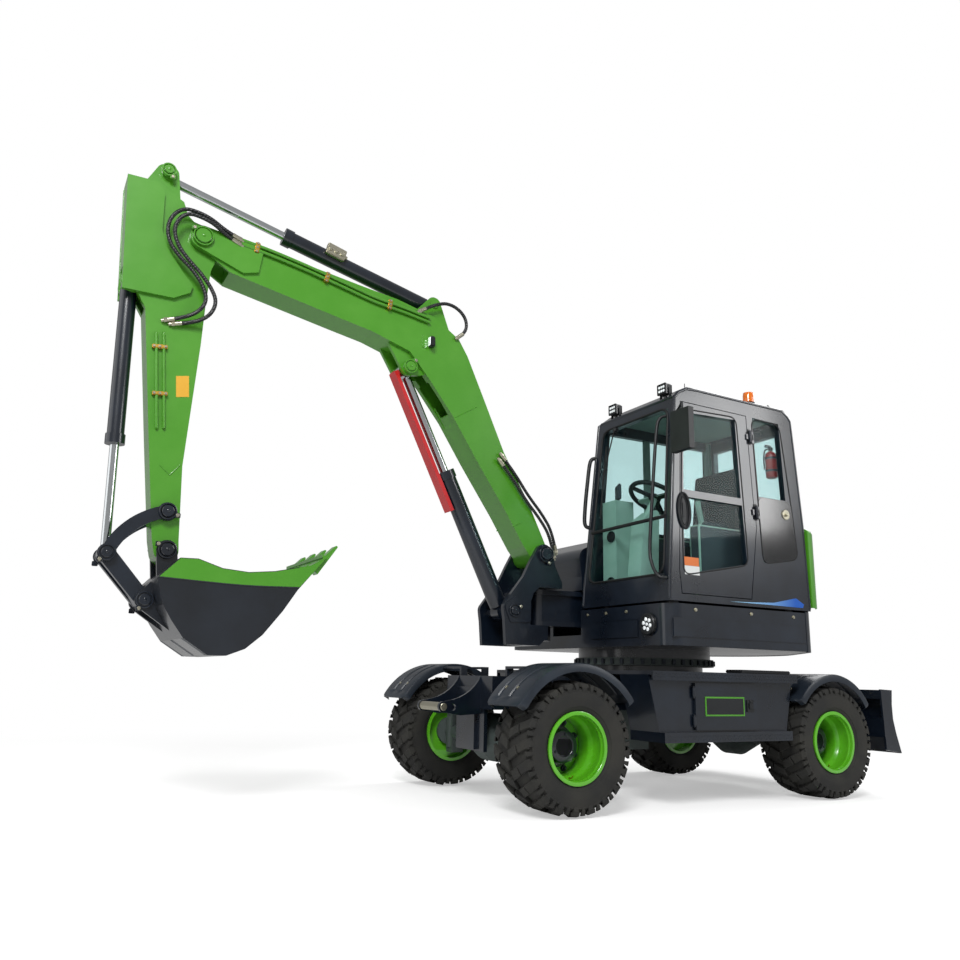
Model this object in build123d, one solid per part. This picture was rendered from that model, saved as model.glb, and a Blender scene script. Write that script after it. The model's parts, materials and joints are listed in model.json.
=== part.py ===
from build123d import *
import os
from math import asin, atan2, cos, degrees, hypot, pi, radians, sin, sqrt

# Wheeled excavator. Millimetres: X forward towards the boom, Y to the machine's left, Z up.
# While the pieces are made, X = 0 is halfway between the axles and Z = 0 is the ground.

# Wheels and axles
WHEELBASE = 2267.0
AXLE_X = WHEELBASE / 2
TRACK = 1611.0
TYRE_RADIUS = 394.0
TYRE_WIDTH = 392.0
TYRE_SHOULDER_DROP = 9.0
LUG_COUNT = 20
LUG_HEIGHT = 22.0
LUG_WIDTH = 62.0
LUG_SLANT = 24.0
BEAD_RADIUS = 205.0
BEAD_HALF_WIDTH = 155.0
RIM_WALL = 12.0
RIM_FLANGE_RADIUS = 214.0
RIM_FLANGE_THICKNESS = 10.0
DISC_OFFSET = -70.0
DISC_THICKNESS = 16.0
HUB_RADIUS = 98.0
HUB_LENGTH = 92.0
SPINDLE_RADIUS = 42.0
SPINDLE_DEPTH = 60.0
KING_PIN_OFFSET = 165.0
KNUCKLE_HEIGHT = 236.0
KNUCKLE_RADIUS = 46.0
YOKE_THICKNESS = 26.0
AXLE_TUBE_RADIUS = 58.0
AXLE_CASE_RADIUS = 160.0
AXLE_CASE_HALF = 250.0
TRUNNION_RADIUS = 42.0
TRUNNION_FRONT = 215.0
TRUNNION_BACK = 250.0
STEER_ARM = 150.0
STEER_INSET = 60.0
STEER_ROD_RADIUS = 16.0
STEER_BARREL_RADIUS = 38.0

# Undercarriage
SPINE_HALF_WIDTH = 320.0
SPINE_BOTTOM = 588.0
SPINE_TOP = 804.0
SPINE_FRONT = AXLE_X + 218.5
SPINE_REAR = -AXLE_X - 196.5
SPINE_WALL = 22.0
DECK_TOP = 859.0
DECK_THICKNESS = 24.0
DECK_LIP = 59.0
DECK_FRONT = AXLE_X - 581.5
DECK_REAR = -AXLE_X + 357.5
DECK_HALF_WIDTH = 980.0
STEP_TOP = 475.0
STEP_BOTTOM = 412.0
STEP_FRONT = DECK_FRONT - 86.0
STEP_REAR = DECK_REAR + 80.0
BOX_INNER_Y = 640.0
BOX_FACE_Y = 930.0
BOX_WALL = 12.0
LOCKER_FRONT = STEP_FRONT - 305.0
LOCKER_REAR = STEP_REAR + 306.0
LOCKER_TOP = 788.0
LOCKER_BOTTOM = 486.0
LOCKER_DOOR_THICKNESS = 18.0
LOCKER_HINGE_STANDOFF = 14.0
FENDER_THICKNESS = 8.0
FENDER_INNER_Y = 606.0
FENDER_OUTER_Y = 1006.0
FENDER_LIP = 26.0
TONGUE_HALF = 165.0
TONGUE_PLATE = 22.0
TONGUE_BAR = (SPINE_FRONT + 276.0, 600.0)
TONGUE_BAR_RADIUS = 27.0
TIE_HOLE = (SPINE_FRONT + 206.0, 598.0)
TIE_HOLE_RADIUS = 22.0

# Blade at the rear
BLADE_HALF_WIDTH = 985.0
BLADE_PIVOT = (SPINE_REAR - 5.0, 470.0)
BLADE_ARM_Y = 300.0
BLADE_ARM_THICKNESS = 60.0
BLADE_CYLINDER_BASE = (SPINE_REAR + 90.0, 745.0)
BLADE_CYLINDER_EYE = (SPINE_REAR - 270.0, 575.0)
BLADE_EDGE_X = SPINE_REAR - 540.0
BLADE_LUG_HALF = 46.0

# Slew ring and upper frame
SLEW_X = -199.0
PEDESTAL_RADIUS = 445.0
SEAT_GAP = 0.3
RING_RADIUS = 528.0
RING_BOTTOM = 905.0
RING_SPLIT = 958.0
RING_GAP = 0.5
RING_BORE = 300.0
UPPER_BOTTOM = 1024.0
UPPER_PLATE = 36.0
SKIRT_TOP = 1300.0
UPPER_HALF_WIDTH = 1000.0
UPPER_FRONT = 418.0
TAIL_RADIUS = 1300.0
SIDE_REAR = -878.0
HOOD_SPLIT = -958.0
LID_FRONT = -978.0
LID_HINGE = (-1008.0, 1925.0)
SKIRT_WALL = 14.0

# Boom swing
BOOM_Y = -160.0
KING_X = 690.0
NOSE_BOTTOM = 1178.0
NOSE_TOP = 1446.0
NOSE_FLANGE = 36.0
NOSE_BOSS_RADIUS = 92.0
NOSE_HALF_AT_FRAME = 175.0
KING_PIN_RADIUS = 45.0
POST_HALF = 190.0
POST_PLATE = 36.0
POST_TOP_ARM = 1524.0
POST_FOOT = 1026.0
HINGE_GAP = 6.0

# Boom, arm and bucket pins, each X, Z
BOOM_FOOT = (744.0, 1698.0)
BOOM_HEAD = (3397.0, 3552.0)
BOOM_CYLINDER_BASE = (1012.0, 1268.0)
BOOM_CYLINDER_EYE = (1876.0, 2974.0)
ARM_CYLINDER_BASE = (1690.0, 3520.0)
ARM_CYLINDER_EYE = (3648.0, 3971.0)
BUCKET_CYLINDER_BASE = (3790.0, 3160.0)
EYE_DRIFT_HIGH = (1772.0, 3077.0)
ROD_ENTRY = (1592.0, 2702.0)
GLAND_DRIFT = ((1697.0, 2879.0), (1560.0, 2590.0))
RELIEF_CLEARANCE = 6.0
ROCKER_PIN = (3430.0, 1724.0)
ROCKER_END = (3738.0, 1450.0)
ROCKER_BULGE = (3616.0, 1628.0)
ROCKER_BAND = 38.0
BUCKET_PIN = (3411.0, 1492.0)
BUCKET_LINK_PIN = (3507.0, 1190.0)

GUARD_REACH = (830.0, 1925.0)
GUARD_HALF = 50.0
BOOM_HALF = 119.0
BOOM_WALL = 12.0
BOOM_END = 3206.0
ARM_HALF = 95.0
ARM_WIDE_HALF = 119.0
ARM_WALL = 10.0
PIN_RADIUS = 32.0
PIN_CLEARANCE = 0.06
SIDE_CLEARANCE = 6.0
BARREL_WALL = 11.0

BUCKET_HALF = 380.0
BUCKET_SHELL = 16.0
BUCKET_SIDE = 18.0
TOOTH_COUNT = 4
TOOTH_PITCH = 213.0

# Cab
CAB_LEFT = 1000.0
CAB_RIGHT = 36.0
CAB_TAPER = 62.0
CAB_WALL = 46.0
CAB_FLOOR = 1316.0
CAB_ROOF = 2862.0
CAB_WAIST = CAB_FLOOR + 0.468 * (CAB_ROOF - CAB_FLOOR)
CAB_LEAN = CAB_TAPER / (CAB_ROOF - CAB_FLOOR)
DOOR_HINGE_X = -456.0
DOOR_HINGE_STANDOFF = 14.0
DOOR_HINGE_RADIUS = 6.0
DOOR_HINGE_DROPS = (285.0, 860.0)
GLASS_THICKNESS = 6.0
GLASS_INSET = 16.0
ROOF_LAMP_Y = (825.0, 256.0)
BEACON = (-560.0, 868.0)
DOOR_GAP = 6.0

WHEEL_Y = TRACK / 2
WHEEL_Z = TYRE_RADIUS
KING_PIN_Y = WHEEL_Y - KING_PIN_OFFSET


# Shapes
def block(x0, x1, y0, y1, z0, z1):
    centre = Pos((x0 + x1) / 2, (y0 + y1) / 2, (z0 + z1) / 2)
    return centre * Box(abs(x1 - x0), abs(y1 - y0), abs(z1 - z0))


def belt_edges(circles, place):
    """Edges of the outline round circles (a, b, radius) taken counterclockwise; place maps a, b to 3D."""
    count = len(circles)
    normals = []
    for i, (a, b, r) in enumerate(circles):
        a2, b2, r2 = circles[(i + 1) % count]
        length = hypot(a2 - a, b2 - b)
        da, db = (a2 - a) / length, (b2 - b) / length
        lean = (r - r2) / length
        side = sqrt(1 - lean * lean)
        normals.append((da * lean + db * side, db * lean - da * side))
    edges = []
    for i, (a, b, r) in enumerate(circles):
        n_in, n_out = normals[i - 1], normals[i]
        a2, b2, r2 = circles[(i + 1) % count]
        if r > 0:
            start, end = atan2(n_in[1], n_in[0]), atan2(n_out[1], n_out[0])
            while end < start:
                end += 2 * pi
            middle = (start + end) / 2
            arc = [(a + r * cos(t), b + r * sin(t)) for t in (start, middle, end)]
            edges.append(ThreePointArc(*[place(*p) for p in arc]))
        edges.append(Line(place(a + r * n_out[0], b + r * n_out[1]), place(a2 + r2 * n_out[0], b2 + r2 * n_out[1])))
    return edges


def plate_y(circles, y0, y1):
    """Plate in the XZ plane between y0 and y1, its outline a belt round circles (x, z, radius)."""
    rounded = [(c + (0.0,))[:3] for c in circles]
    face = make_face(belt_edges(rounded, lambda a, b: (a, y0, b)))
    return extrude(face, amount=abs(y1 - y0), dir=(0, 1 if y1 > y0 else -1, 0))


def plate_z(circles, z0, z1):
    """Plate in the XY plane between z0 and z1, its outline a belt round circles (x, y, radius)."""
    rounded = [(c + (0.0,))[:3] for c in circles]
    face = make_face(belt_edges(rounded, lambda a, b: (a, b, z0)))
    return extrude(face, amount=abs(z1 - z0), dir=(0, 0, 1 if z1 > z0 else -1))


def plate_x(circles, x0, x1):
    """Plate in the YZ plane between x0 and x1, its outline a belt round circles (y, z, radius)."""
    rounded = [(c + (0.0,))[:3] for c in circles]
    face = make_face(belt_edges(rounded, lambda a, b: (x0, a, b)))
    return extrude(face, amount=abs(x1 - x0), dir=(1 if x1 > x0 else -1, 0, 0))


def pin_y(x, z, y0, y1, radius):
    return Pos(x, (y0 + y1) / 2, z) * Rot(90, 0, 0) * Cylinder(radius, abs(y1 - y0))


def bar(p, q, radius):
    p, q = Vector(*p), Vector(*q)
    place = Plane(origin=p, z_dir=q - p)
    return place * Cylinder(radius, (q - p).length, align=(Align.CENTER, Align.CENTER, Align.MIN))


def twice(solid):
    """The solid and its mirror image across the machine's centre plane."""
    return solid + mirror(solid, about=Plane.XZ)


def at_side(solid, side):
    return solid if side > 0 else mirror(solid, about=Plane.XZ)


def point_on(p, q, distance):
    length = hypot(q[0] - p[0], q[1] - p[1])
    share = distance / length
    return (p[0] + (q[0] - p[0]) * share, p[1] + (q[1] - p[1]) * share)


def circle_through(p, q, r):
    ax, ay, bx, by, cx, cy = *p, *q, *r
    d = 2 * (ax * (by - cy) + bx * (cy - ay) + cx * (ay - by))
    ux = ((ax**2 + ay**2) * (by - cy) + (bx**2 + by**2) * (cy - ay) + (cx**2 + cy**2) * (ay - by)) / d
    uy = ((ax**2 + ay**2) * (cx - bx) + (bx**2 + by**2) * (ax - cx) + (cx**2 + cy**2) * (bx - ax)) / d
    return ux, uy, hypot(ax - ux, ay - uy)


# Wheels
def crown_sector(reach, half_turns):
    """Fan from the axle to a chain of flats, each half_turns[0] either side of its middle, at a flat's reach."""
    corner = reach / cos(half_turns[0])
    return plate_y([(0, 0)] + [(corner * sin(t), corner * cos(t)) for t in half_turns[::-1]]
                   + [(-corner * sin(t), corner * cos(t)) for t in half_turns], -300, 300)


def carcass_wedge():
    """One flat-sided wedge of the carcass, a lug pitch wide, with its middle at the wheel's top."""
    half = TYRE_WIDTH / 2
    outline = [(half - 50, TYRE_RADIUS - LUG_HEIGHT), (half - 8, 306), (BEAD_HALF_WIDTH - 20, BEAD_RADIUS)]
    outline += [(-y, r) for y, r in outline[::-1]]
    return plate_x(outline[::-1], -120, 120) & crown_sector(TYRE_RADIUS, [pi / LUG_COUNT])


def tyre_lug():
    """Slanted bar of the left tread row, its crown as high as the tyre, its shoulder and flank flat."""
    half = TYRE_WIDTH / 2
    crown = TYRE_RADIUS
    section = [(6, 340), (half, 318), (half - 12, crown - 16), (half - 80, crown + 1), (6, crown + 1)]
    slab = plate_x(section, -120, 120)
    cutter = Pos(0, 100, TYRE_RADIUS - 30) * Rot(0, 0, LUG_SLANT) * Box(LUG_WIDTH, 220, 120)
    half_flat = pi / LUG_COUNT / 2
    return slab & cutter & crown_sector(TYRE_RADIUS, [half_flat, 3 * half_flat])


def tyre_body():
    """Carcass of flat wedges with two rows of slanted bars, the rows half a pitch apart."""
    step = 360 / LUG_COUNT
    wedge, lug = carcass_wedge(), tyre_lug()
    carcass = wedge.fuse(*[Rot(0, step * i, 0) * wedge for i in range(1, LUG_COUNT)]).clean()
    mirrored = mirror(lug, about=Plane.XZ)
    lugs = [Rot(0, step * i, 0) * lug for i in range(LUG_COUNT)]
    lugs += [Rot(0, step * (i + 0.5), 0) * mirrored for i in range(LUG_COUNT)]
    return carcass.fuse(*lugs)


def rim_body():
    barrel = BEAD_RADIUS - 0.4
    half = BEAD_HALF_WIDTH + 5
    end = half + RIM_FLANGE_THICKNESS
    inner = barrel - RIM_WALL
    disc = DISC_OFFSET
    back = disc - DISC_THICKNESS
    nose = disc + HUB_LENGTH
    outline = [
        (0, back), (inner, back), (inner, -end), (RIM_FLANGE_RADIUS, -end), (RIM_FLANGE_RADIUS, -half),
        (barrel, -half), (barrel, half), (RIM_FLANGE_RADIUS, half), (RIM_FLANGE_RADIUS, end), (inner, end),
        (inner, disc), (HUB_RADIUS, disc), (HUB_RADIUS, nose - 20), (HUB_RADIUS - 16, nose), (0, nose),
    ]
    face = make_face(Polyline(*[(r, y, 0) for r, y in outline], close=True))
    rim = revolve(face, axis=Axis.Y)
    depth = SPINDLE_DEPTH + 2
    socket = Pos(0, back + depth / 2, 0) * Rot(90, 0, 0) * Cylinder(SPINDLE_RADIUS + PIN_CLEARANCE, depth)
    return rim - socket


def wheel_place(end, side):
    return Pos(end * AXLE_X, WHEEL_Y, WHEEL_Z)


def tyre(body, end, side):
    return at_side(wheel_place(end, side) * body, side)


def rim(body, end, side):
    return at_side(wheel_place(end, side) * body, side)


def spindle(x):
    back = WHEEL_Y + DISC_OFFSET - DISC_THICKNESS
    shaft = pin_y(x, WHEEL_Z, KING_PIN_Y, back + SPINDLE_DEPTH, SPINDLE_RADIUS)
    flange = pin_y(x, WHEEL_Z, back - 30, back - 4, HUB_RADIUS)
    return shaft + flange


def knuckle(side):
    half = KNUCKLE_HEIGHT / 2
    boss = Pos(AXLE_X, KING_PIN_Y, WHEEL_Z) * Cylinder(KNUCKLE_RADIUS, KNUCKLE_HEIGHT)
    arm_z = WHEEL_Z + 40
    x0, x1 = AXLE_X - STEER_ARM - 24, AXLE_X - STEER_ARM + 24
    arm = block(x0, AXLE_X, KING_PIN_Y - 20, KING_PIN_Y + 20, arm_z - 12, arm_z + 12)
    arm += block(x0, x1, KING_PIN_Y - STEER_INSET, KING_PIN_Y + 20, arm_z - 12, arm_z + 12)
    arm += Pos(AXLE_X - STEER_ARM, KING_PIN_Y - STEER_INSET, arm_z) * Cylinder(24, 24)
    hole = Pos(AXLE_X, KING_PIN_Y, WHEEL_Z) * Cylinder(22 + PIN_CLEARANCE, KNUCKLE_HEIGHT + 2)
    return at_side(boss + spindle(AXLE_X) + arm - hole, side)


def axle_case():
    profile = [
        (0, -AXLE_CASE_HALF), (AXLE_TUBE_RADIUS + 14, -AXLE_CASE_HALF), (AXLE_CASE_RADIUS, -70),
        (AXLE_CASE_RADIUS, 70), (AXLE_TUBE_RADIUS + 14, AXLE_CASE_HALF), (0, AXLE_CASE_HALF),
    ]
    face = make_face(Polyline(*[(r, y, 0) for r, y in profile], close=True))
    return Pos(0, 0, WHEEL_Z) * revolve(face, axis=Axis.Y)


def front_axle():
    half = KNUCKLE_HEIGHT / 2 + 3
    body = Pos(AXLE_X, 0, 0) * axle_case()
    inner = KING_PIN_Y - KNUCKLE_RADIUS - 28
    body += pin_y(AXLE_X, WHEEL_Z, -inner, inner, AXLE_TUBE_RADIUS)
    for side in (1, -1):
        yoke_back = block(AXLE_X - 48, AXLE_X + 48, inner - 12, inner + 14, WHEEL_Z - half - YOKE_THICKNESS,
                          WHEEL_Z + half + YOKE_THICKNESS)
        body += at_side(yoke_back, side)
        for up in (1, -1):
            z0 = WHEEL_Z + up * half
            z1 = z0 + up * YOKE_THICKNESS
            ear = plate_z([(AXLE_X - 48, inner), (AXLE_X + 48, inner), (AXLE_X, KING_PIN_Y, 44)], z0, z1)
            body += at_side(ear, side)
        king = Pos(AXLE_X, KING_PIN_Y, WHEEL_Z) * Cylinder(22, 2 * (half + YOKE_THICKNESS))
        body += at_side(king, side)
    body += bar((AXLE_X - TRUNNION_BACK, 0, WHEEL_Z), (AXLE_X + TRUNNION_FRONT, 0, WHEEL_Z), TRUNNION_RADIUS)
    steer_x = AXLE_X - STEER_ARM
    steer_z = WHEEL_Z + 40 + 12 + STEER_BARREL_RADIUS + 22
    barrel = pin_y(steer_x, steer_z, -150, 150, STEER_BARREL_RADIUS)
    feet = block(steer_x - 20, AXLE_X - 40, -140, -110, WHEEL_Z + 60, steer_z)
    body += barrel + feet + mirror(feet, about=Plane.XZ)
    return body - pin_y(steer_x, steer_z, -160, 160, STEER_ROD_RADIUS + PIN_CLEARANCE)


def rear_axle():
    body = Pos(-AXLE_X, 0, 0) * axle_case()
    body += pin_y(-AXLE_X, WHEEL_Z, -KING_PIN_Y, KING_PIN_Y, AXLE_TUBE_RADIUS)
    seat = block(-AXLE_X - 70, -AXLE_X + 70, 190, 285, WHEEL_Z - 30, SPINE_BOTTOM)
    nose = bar((-AXLE_X + 80, 0, WHEEL_Z), (-AXLE_X + AXLE_CASE_RADIUS + 50, 0, WHEEL_Z), 62)
    return body + nose + twice(seat) + twice(spindle(-AXLE_X))


def steering_rod():
    steer_x = AXLE_X - STEER_ARM
    steer_z = WHEEL_Z + 40 + 12 + STEER_BARREL_RADIUS + 22
    end = KING_PIN_Y - STEER_INSET
    body = pin_y(steer_x, steer_z, -end, end, STEER_ROD_RADIUS)
    eye_low = WHEEL_Z + 40 + 12 + 0.5
    eye = Pos(steer_x, end, (eye_low + steer_z + 16) / 2) * Cylinder(20, steer_z + 16 - eye_low)
    return body + twice(eye)


# Undercarriage
def tongue():
    """Front tongue: two curved plates side by side, joined by a cross plate and a round bar at their tips."""
    front = SPINE_FRONT
    curve = [(front + 208, 645), (front + 160, 660), (front + 115, 681), (front + 76, 707), (front + 40, 740),
             (front + 13, 775), (front, SPINE_TOP)]
    outline = [(front - 52, 560), (front + 148, 546), (*TONGUE_BAR, 34)] + curve + [(front - 52, SPINE_TOP)]
    side = plate_y(outline, TONGUE_HALF - TONGUE_PLATE, TONGUE_HALF)
    side -= pin_y(*TIE_HOLE, 0, 400, TIE_HOLE_RADIUS)
    body = twice(side) + pin_y(*TONGUE_BAR, -TONGUE_HALF, TONGUE_HALF, TONGUE_BAR_RADIUS)
    return body + block(front, front + 20, -TONGUE_HALF + 2, TONGUE_HALF - 2, 600, 730)


def hollow_box(x0, x1, half, z0, z1, wall):
    outer = block(x0, x1, -half, half, z0, z1)
    return outer - block(x0 + wall, x1 - wall, -half + wall, half - wall, z0 + wall, z1 - wall)


def chassis_frame():
    body = hollow_box(SPINE_REAR, SPINE_FRONT, SPINE_HALF_WIDTH, SPINE_BOTTOM, SPINE_TOP, SPINE_WALL)
    middle = block(DECK_REAR, DECK_FRONT, -SPINE_HALF_WIDTH, SPINE_HALF_WIDTH, SPINE_TOP, DECK_TOP)
    pedestal = Pos(SLEW_X, 0, (SPINE_TOP + RING_BOTTOM) / 2) * Cylinder(PEDESTAL_RADIUS, RING_BOTTOM - SPINE_TOP)
    body += middle + pedestal + tongue()
    for x in (AXLE_X - TRUNNION_BACK + 10, AXLE_X + TRUNNION_FRONT - 36):
        body += block(x, x + 26, -195, 195, WHEEL_Z - 80, SPINE_BOTTOM)
    x = AXLE_X + TRUNNION_FRONT - 10
    body += block(x, x + 22, -100, 100, WHEEL_Z - 70, SPINE_BOTTOM)
    body -= bar((AXLE_X - TRUNNION_BACK - 5, 0, WHEEL_Z), (AXLE_X + TRUNNION_FRONT + 5, 0, WHEEL_Z),
                TRUNNION_RADIUS + 0.3)
    lug = [(BLADE_PIVOT[0], BLADE_PIVOT[1], 52), (SPINE_REAR + 115, SPINE_BOTTOM), (SPINE_REAR, 700)]
    for y in (BLADE_ARM_Y - 66, BLADE_ARM_Y + 36):
        body += twice(plate_y(lug, y, y + 30))
    body += block(SPINE_REAR, SPINE_REAR + 130, -370, 370, SPINE_BOTTOM, 690)
    bx, bz = BLADE_CYLINDER_BASE
    cheek = BLADE_LUG_HALF + 14
    body -= block(SPINE_REAR - 10, bx + 60, -cheek, cheek, 600, 900)
    body += twice(block(SPINE_REAR, bx + 60, cheek, cheek + 20, 600, SPINE_TOP))
    body += block(bx + 44, bx + 60, -cheek, cheek, 600, SPINE_TOP)
    return body + pin_y(bx, bz, -cheek - 20, cheek + 20, 25)


def fender_tips(end):
    """Ends of a fender's arc, the forward one first."""
    if end > 0:
        return (AXLE_X + 434.7, 635.0), (AXLE_X - 421.5, 657.4)
    return (-AXLE_X + 377.5, 692.0), (-AXLE_X - 396.5, 640.0)


def fender_circle(end):
    first, last = fender_tips(end)
    top = (AXLE_X, 891.0) if end > 0 else (-AXLE_X + 14.5, 872.0)
    return circle_through(first, top, last)


def fender_angles(end):
    cx, cz, _ = fender_circle(end)
    return [atan2(z - cz, x - cx) for x, z in fender_tips(end)]


def fender(end):
    cx, cz, radius = fender_circle(end)
    start, finish = fender_angles(end)
    middle = (start + finish) / 2

    def arc(r, y, turns):
        return ThreePointArc(*[(cx + r * cos(t), y, cz + r * sin(t)) for t in turns])

    def band(outer, inner, y0, y1):
        ends = [(cx + r * cos(t), y0, cz + r * sin(t)) for t, r in ((finish, outer), (finish, inner))]
        starts = [(cx + r * cos(t), y0, cz + r * sin(t)) for t, r in ((start, inner), (start, outer))]
        edges = [arc(outer, y0, (start, middle, finish)), Line(*ends),
                 arc(inner, y0, (finish, middle, start)), Line(*starts)]
        return extrude(make_face(edges), amount=y1 - y0, dir=(0, 1, 0))

    body = band(radius, radius - FENDER_THICKNESS, FENDER_INNER_Y, FENDER_OUTER_Y)
    body += band(radius, radius - FENDER_LIP, FENDER_OUTER_Y - 10, FENDER_OUTER_Y)
    span = finish - start
    start, finish = start + 0.1 * span, finish - 0.1 * span
    for y in (FENDER_INNER_Y + 90, FENDER_OUTER_Y - 160):
        body += band(radius + 9, radius - 2, y, y + 74)
    return body


def fenders():
    front, rear = fender(1), fender(-1)
    return Compound([front, mirror(front, about=Plane.XZ), rear, mirror(rear, about=Plane.XZ)])


def fender_bar_height(end):
    cx, cz, radius = fender_circle(end)
    return cx, cz + radius - FENDER_THICKNESS


def side_deck(open_front):
    """Left deck, step and box, from the spine's side to the outer edge; the locker has an open front."""
    y0 = SPINE_HALF_WIDTH
    top = plate_y([(DECK_REAR, DECK_TOP - DECK_THICKNESS), (DECK_FRONT, DECK_TOP - DECK_THICKNESS),
                   (DECK_FRONT, DECK_TOP), (DECK_REAR, DECK_TOP)], y0, DECK_HALF_WIDTH)
    lip = block(DECK_REAR, DECK_FRONT, DECK_HALF_WIDTH - 14, DECK_HALF_WIDTH, DECK_TOP - DECK_LIP, DECK_TOP)
    outline = [(DECK_REAR, DECK_TOP - DECK_THICKNESS), (STEP_REAR, STEP_TOP), (STEP_FRONT, STEP_TOP),
               (DECK_FRONT, DECK_TOP - DECK_THICKNESS)]
    top -= Pos(SLEW_X, 0, DECK_TOP) * Cylinder(PEDESTAL_RADIUS + SEAT_GAP, 4 * DECK_THICKNESS)
    w = BOX_WALL
    inner = [(DECK_REAR + w, DECK_TOP - DECK_THICKNESS + 1), (STEP_REAR + w, STEP_TOP + w),
             (STEP_FRONT - w, STEP_TOP + w), (DECK_FRONT - w, DECK_TOP - DECK_THICKNESS + 1)]
    shell = plate_y(outline, BOX_INNER_Y, BOX_FACE_Y)
    shell -= plate_y(inner, BOX_INNER_Y + w, BOX_FACE_Y - w)
    for x in (LOCKER_FRONT, LOCKER_REAR - w):
        shell += block(x, x + w, BOX_INNER_Y, BOX_FACE_Y, STEP_TOP, DECK_TOP - DECK_THICKNESS)
    mouth = block(LOCKER_REAR, LOCKER_FRONT, BOX_FACE_Y - w - 1, BOX_FACE_Y + 1, LOCKER_BOTTOM + 8, LOCKER_TOP - 8)
    if open_front:
        shell -= mouth
    if open_front:
        x, y = LOCKER_FRONT + 18, BOX_FACE_Y + LOCKER_HINGE_STANDOFF
        for z in (LOCKER_BOTTOM + 60, LOCKER_TOP - 60):
            shell += Pos(x, y, z) * Cylinder(5, 80)
            for end in (-34, 34):
                shell += block(x - 6, x + 6, BOX_FACE_Y - 1, y + 6, z + end - 5, z + end + 5)
    step = block(STEP_REAR, STEP_FRONT, BOX_INNER_Y, DECK_HALF_WIDTH, STEP_BOTTOM, STEP_TOP)
    step -= block(STEP_REAR + 20, STEP_FRONT - 20, BOX_INNER_Y + 20, DECK_HALF_WIDTH - 20, STEP_BOTTOM - 1, STEP_TOP - 8)
    return top + lip + shell + step


def chassis_with_bars():
    body = chassis_frame()
    for end in (1, -1):
        x, z = fender_bar_height(end)
        for shift in (-90, 90):
            drop = fender_circle(end)[2] - FENDER_THICKNESS
            height = fender_circle(end)[1] + sqrt(drop**2 - (abs(shift) + 25) ** 2) - 0.4
            rib = block(x + shift - 25, x + shift + 25, SPINE_HALF_WIDTH - 10, FENDER_OUTER_Y - 60, height - 16, height)
            post = block(x + shift - 25, x + shift + 25, SPINE_HALF_WIDTH - 10, SPINE_HALF_WIDTH + 14,
                         SPINE_TOP - 60, height)
            body += twice(rib + post)
    return body


def locker_door():
    x0, x1 = LOCKER_REAR - 8, LOCKER_FRONT + 8
    y0 = BOX_FACE_Y + 2
    panel = block(x0, x1, y0, y0 + LOCKER_DOOR_THICKNESS, LOCKER_BOTTOM, LOCKER_TOP)
    y = BOX_FACE_Y + LOCKER_HINGE_STANDOFF
    for z in (LOCKER_BOTTOM + 60, LOCKER_TOP - 60):
        panel += Pos(x1 + 10, y, z) * Cylinder(10, 56)
        panel += block(x1 - 4, x1 + 10, y - 6, y + 6, z - 28, z + 28)
        panel -= Pos(x1 + 10, y, z) * Cylinder(5 + PIN_CLEARANCE, 70)
    latch = block(x0 + 14, x0 + 50, y0 + LOCKER_DOOR_THICKNESS, y0 + LOCKER_DOOR_THICKNESS + 10, 620, 670)
    return panel + latch


def travel_drive():
    case = block(-120, 240, -130, 130, 300, SPINE_BOTTOM)
    motor = bar((240, 0, 430), (470, 0, 430), 95)
    shafts = bar((-120, 0, WHEEL_Z), (-AXLE_X + AXLE_CASE_RADIUS + 50, 0, WHEEL_Z), 34)
    front = bar((240, 0, WHEEL_Z - 60), (AXLE_X - TRUNNION_BACK - 10, 0, WHEEL_Z - 60), 30)
    return case + motor + shafts + front


def slew_ring():
    outer = Pos(SLEW_X, 0, (RING_BOTTOM + RING_SPLIT) / 2) * Cylinder(RING_RADIUS, RING_SPLIT - RING_BOTTOM)
    return outer - Pos(SLEW_X, 0, (RING_BOTTOM + RING_SPLIT) / 2) * Cylinder(RING_BORE, RING_SPLIT)


# Blade
def blade():
    """Curved sheet with end plates, two stiffeners, the arms to its pivots and the cylinder's lugs."""
    half = BLADE_HALF_WIDTH
    edge = BLADE_EDGE_X
    rear = [(edge + 56, 766), (edge + 70, 660), (edge + 70, 554), (edge + 48, 454), (edge, 303)]
    front = [(x + 23, z) for x, z in rear[::-1]]
    sheet = plate_y(rear + front, -half, half)
    end = plate_y(rear + [(edge + 172, 329), (edge + 180, 527), (edge + 188, 771)], half - 16, half)
    back = block(edge + 80, edge + 186, -half, half, 700, 766) + block(edge + 70, edge + 180, -half, half, 420, 560)
    body = sheet + twice(end) + back
    root = edge + 170
    for side in (1, -1):
        y0, y1 = BLADE_ARM_Y - BLADE_ARM_THICKNESS / 2, BLADE_ARM_Y + BLADE_ARM_THICKNESS / 2
        arm = plate_y([(BLADE_PIVOT[0], BLADE_PIVOT[1], 50), (root, 560), (root, 430)], y0, y1)
        hole = pin_y(*BLADE_PIVOT, y0 - 1, y1 + 1, PIN_RADIUS + PIN_CLEARANCE)
        body += at_side(arm - hole, side)
    lx, lz = BLADE_CYLINDER_EYE
    lug = plate_y([(lx, lz, 44), (root, 700), (root, 500)], BLADE_LUG_HALF, BLADE_LUG_HALF + 24)
    body += twice(lug) + block(edge + 68, root + 10, -90, 90, 480, 720)
    return body + twice(pin_y(lx, lz, BLADE_LUG_HALF, BLADE_LUG_HALF + 34, 25))


def blade_pins():
    y0, y1 = BLADE_ARM_Y - 66, BLADE_ARM_Y + 66
    return twice(pin_y(*BLADE_PIVOT, y0, y1, PIN_RADIUS))


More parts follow.
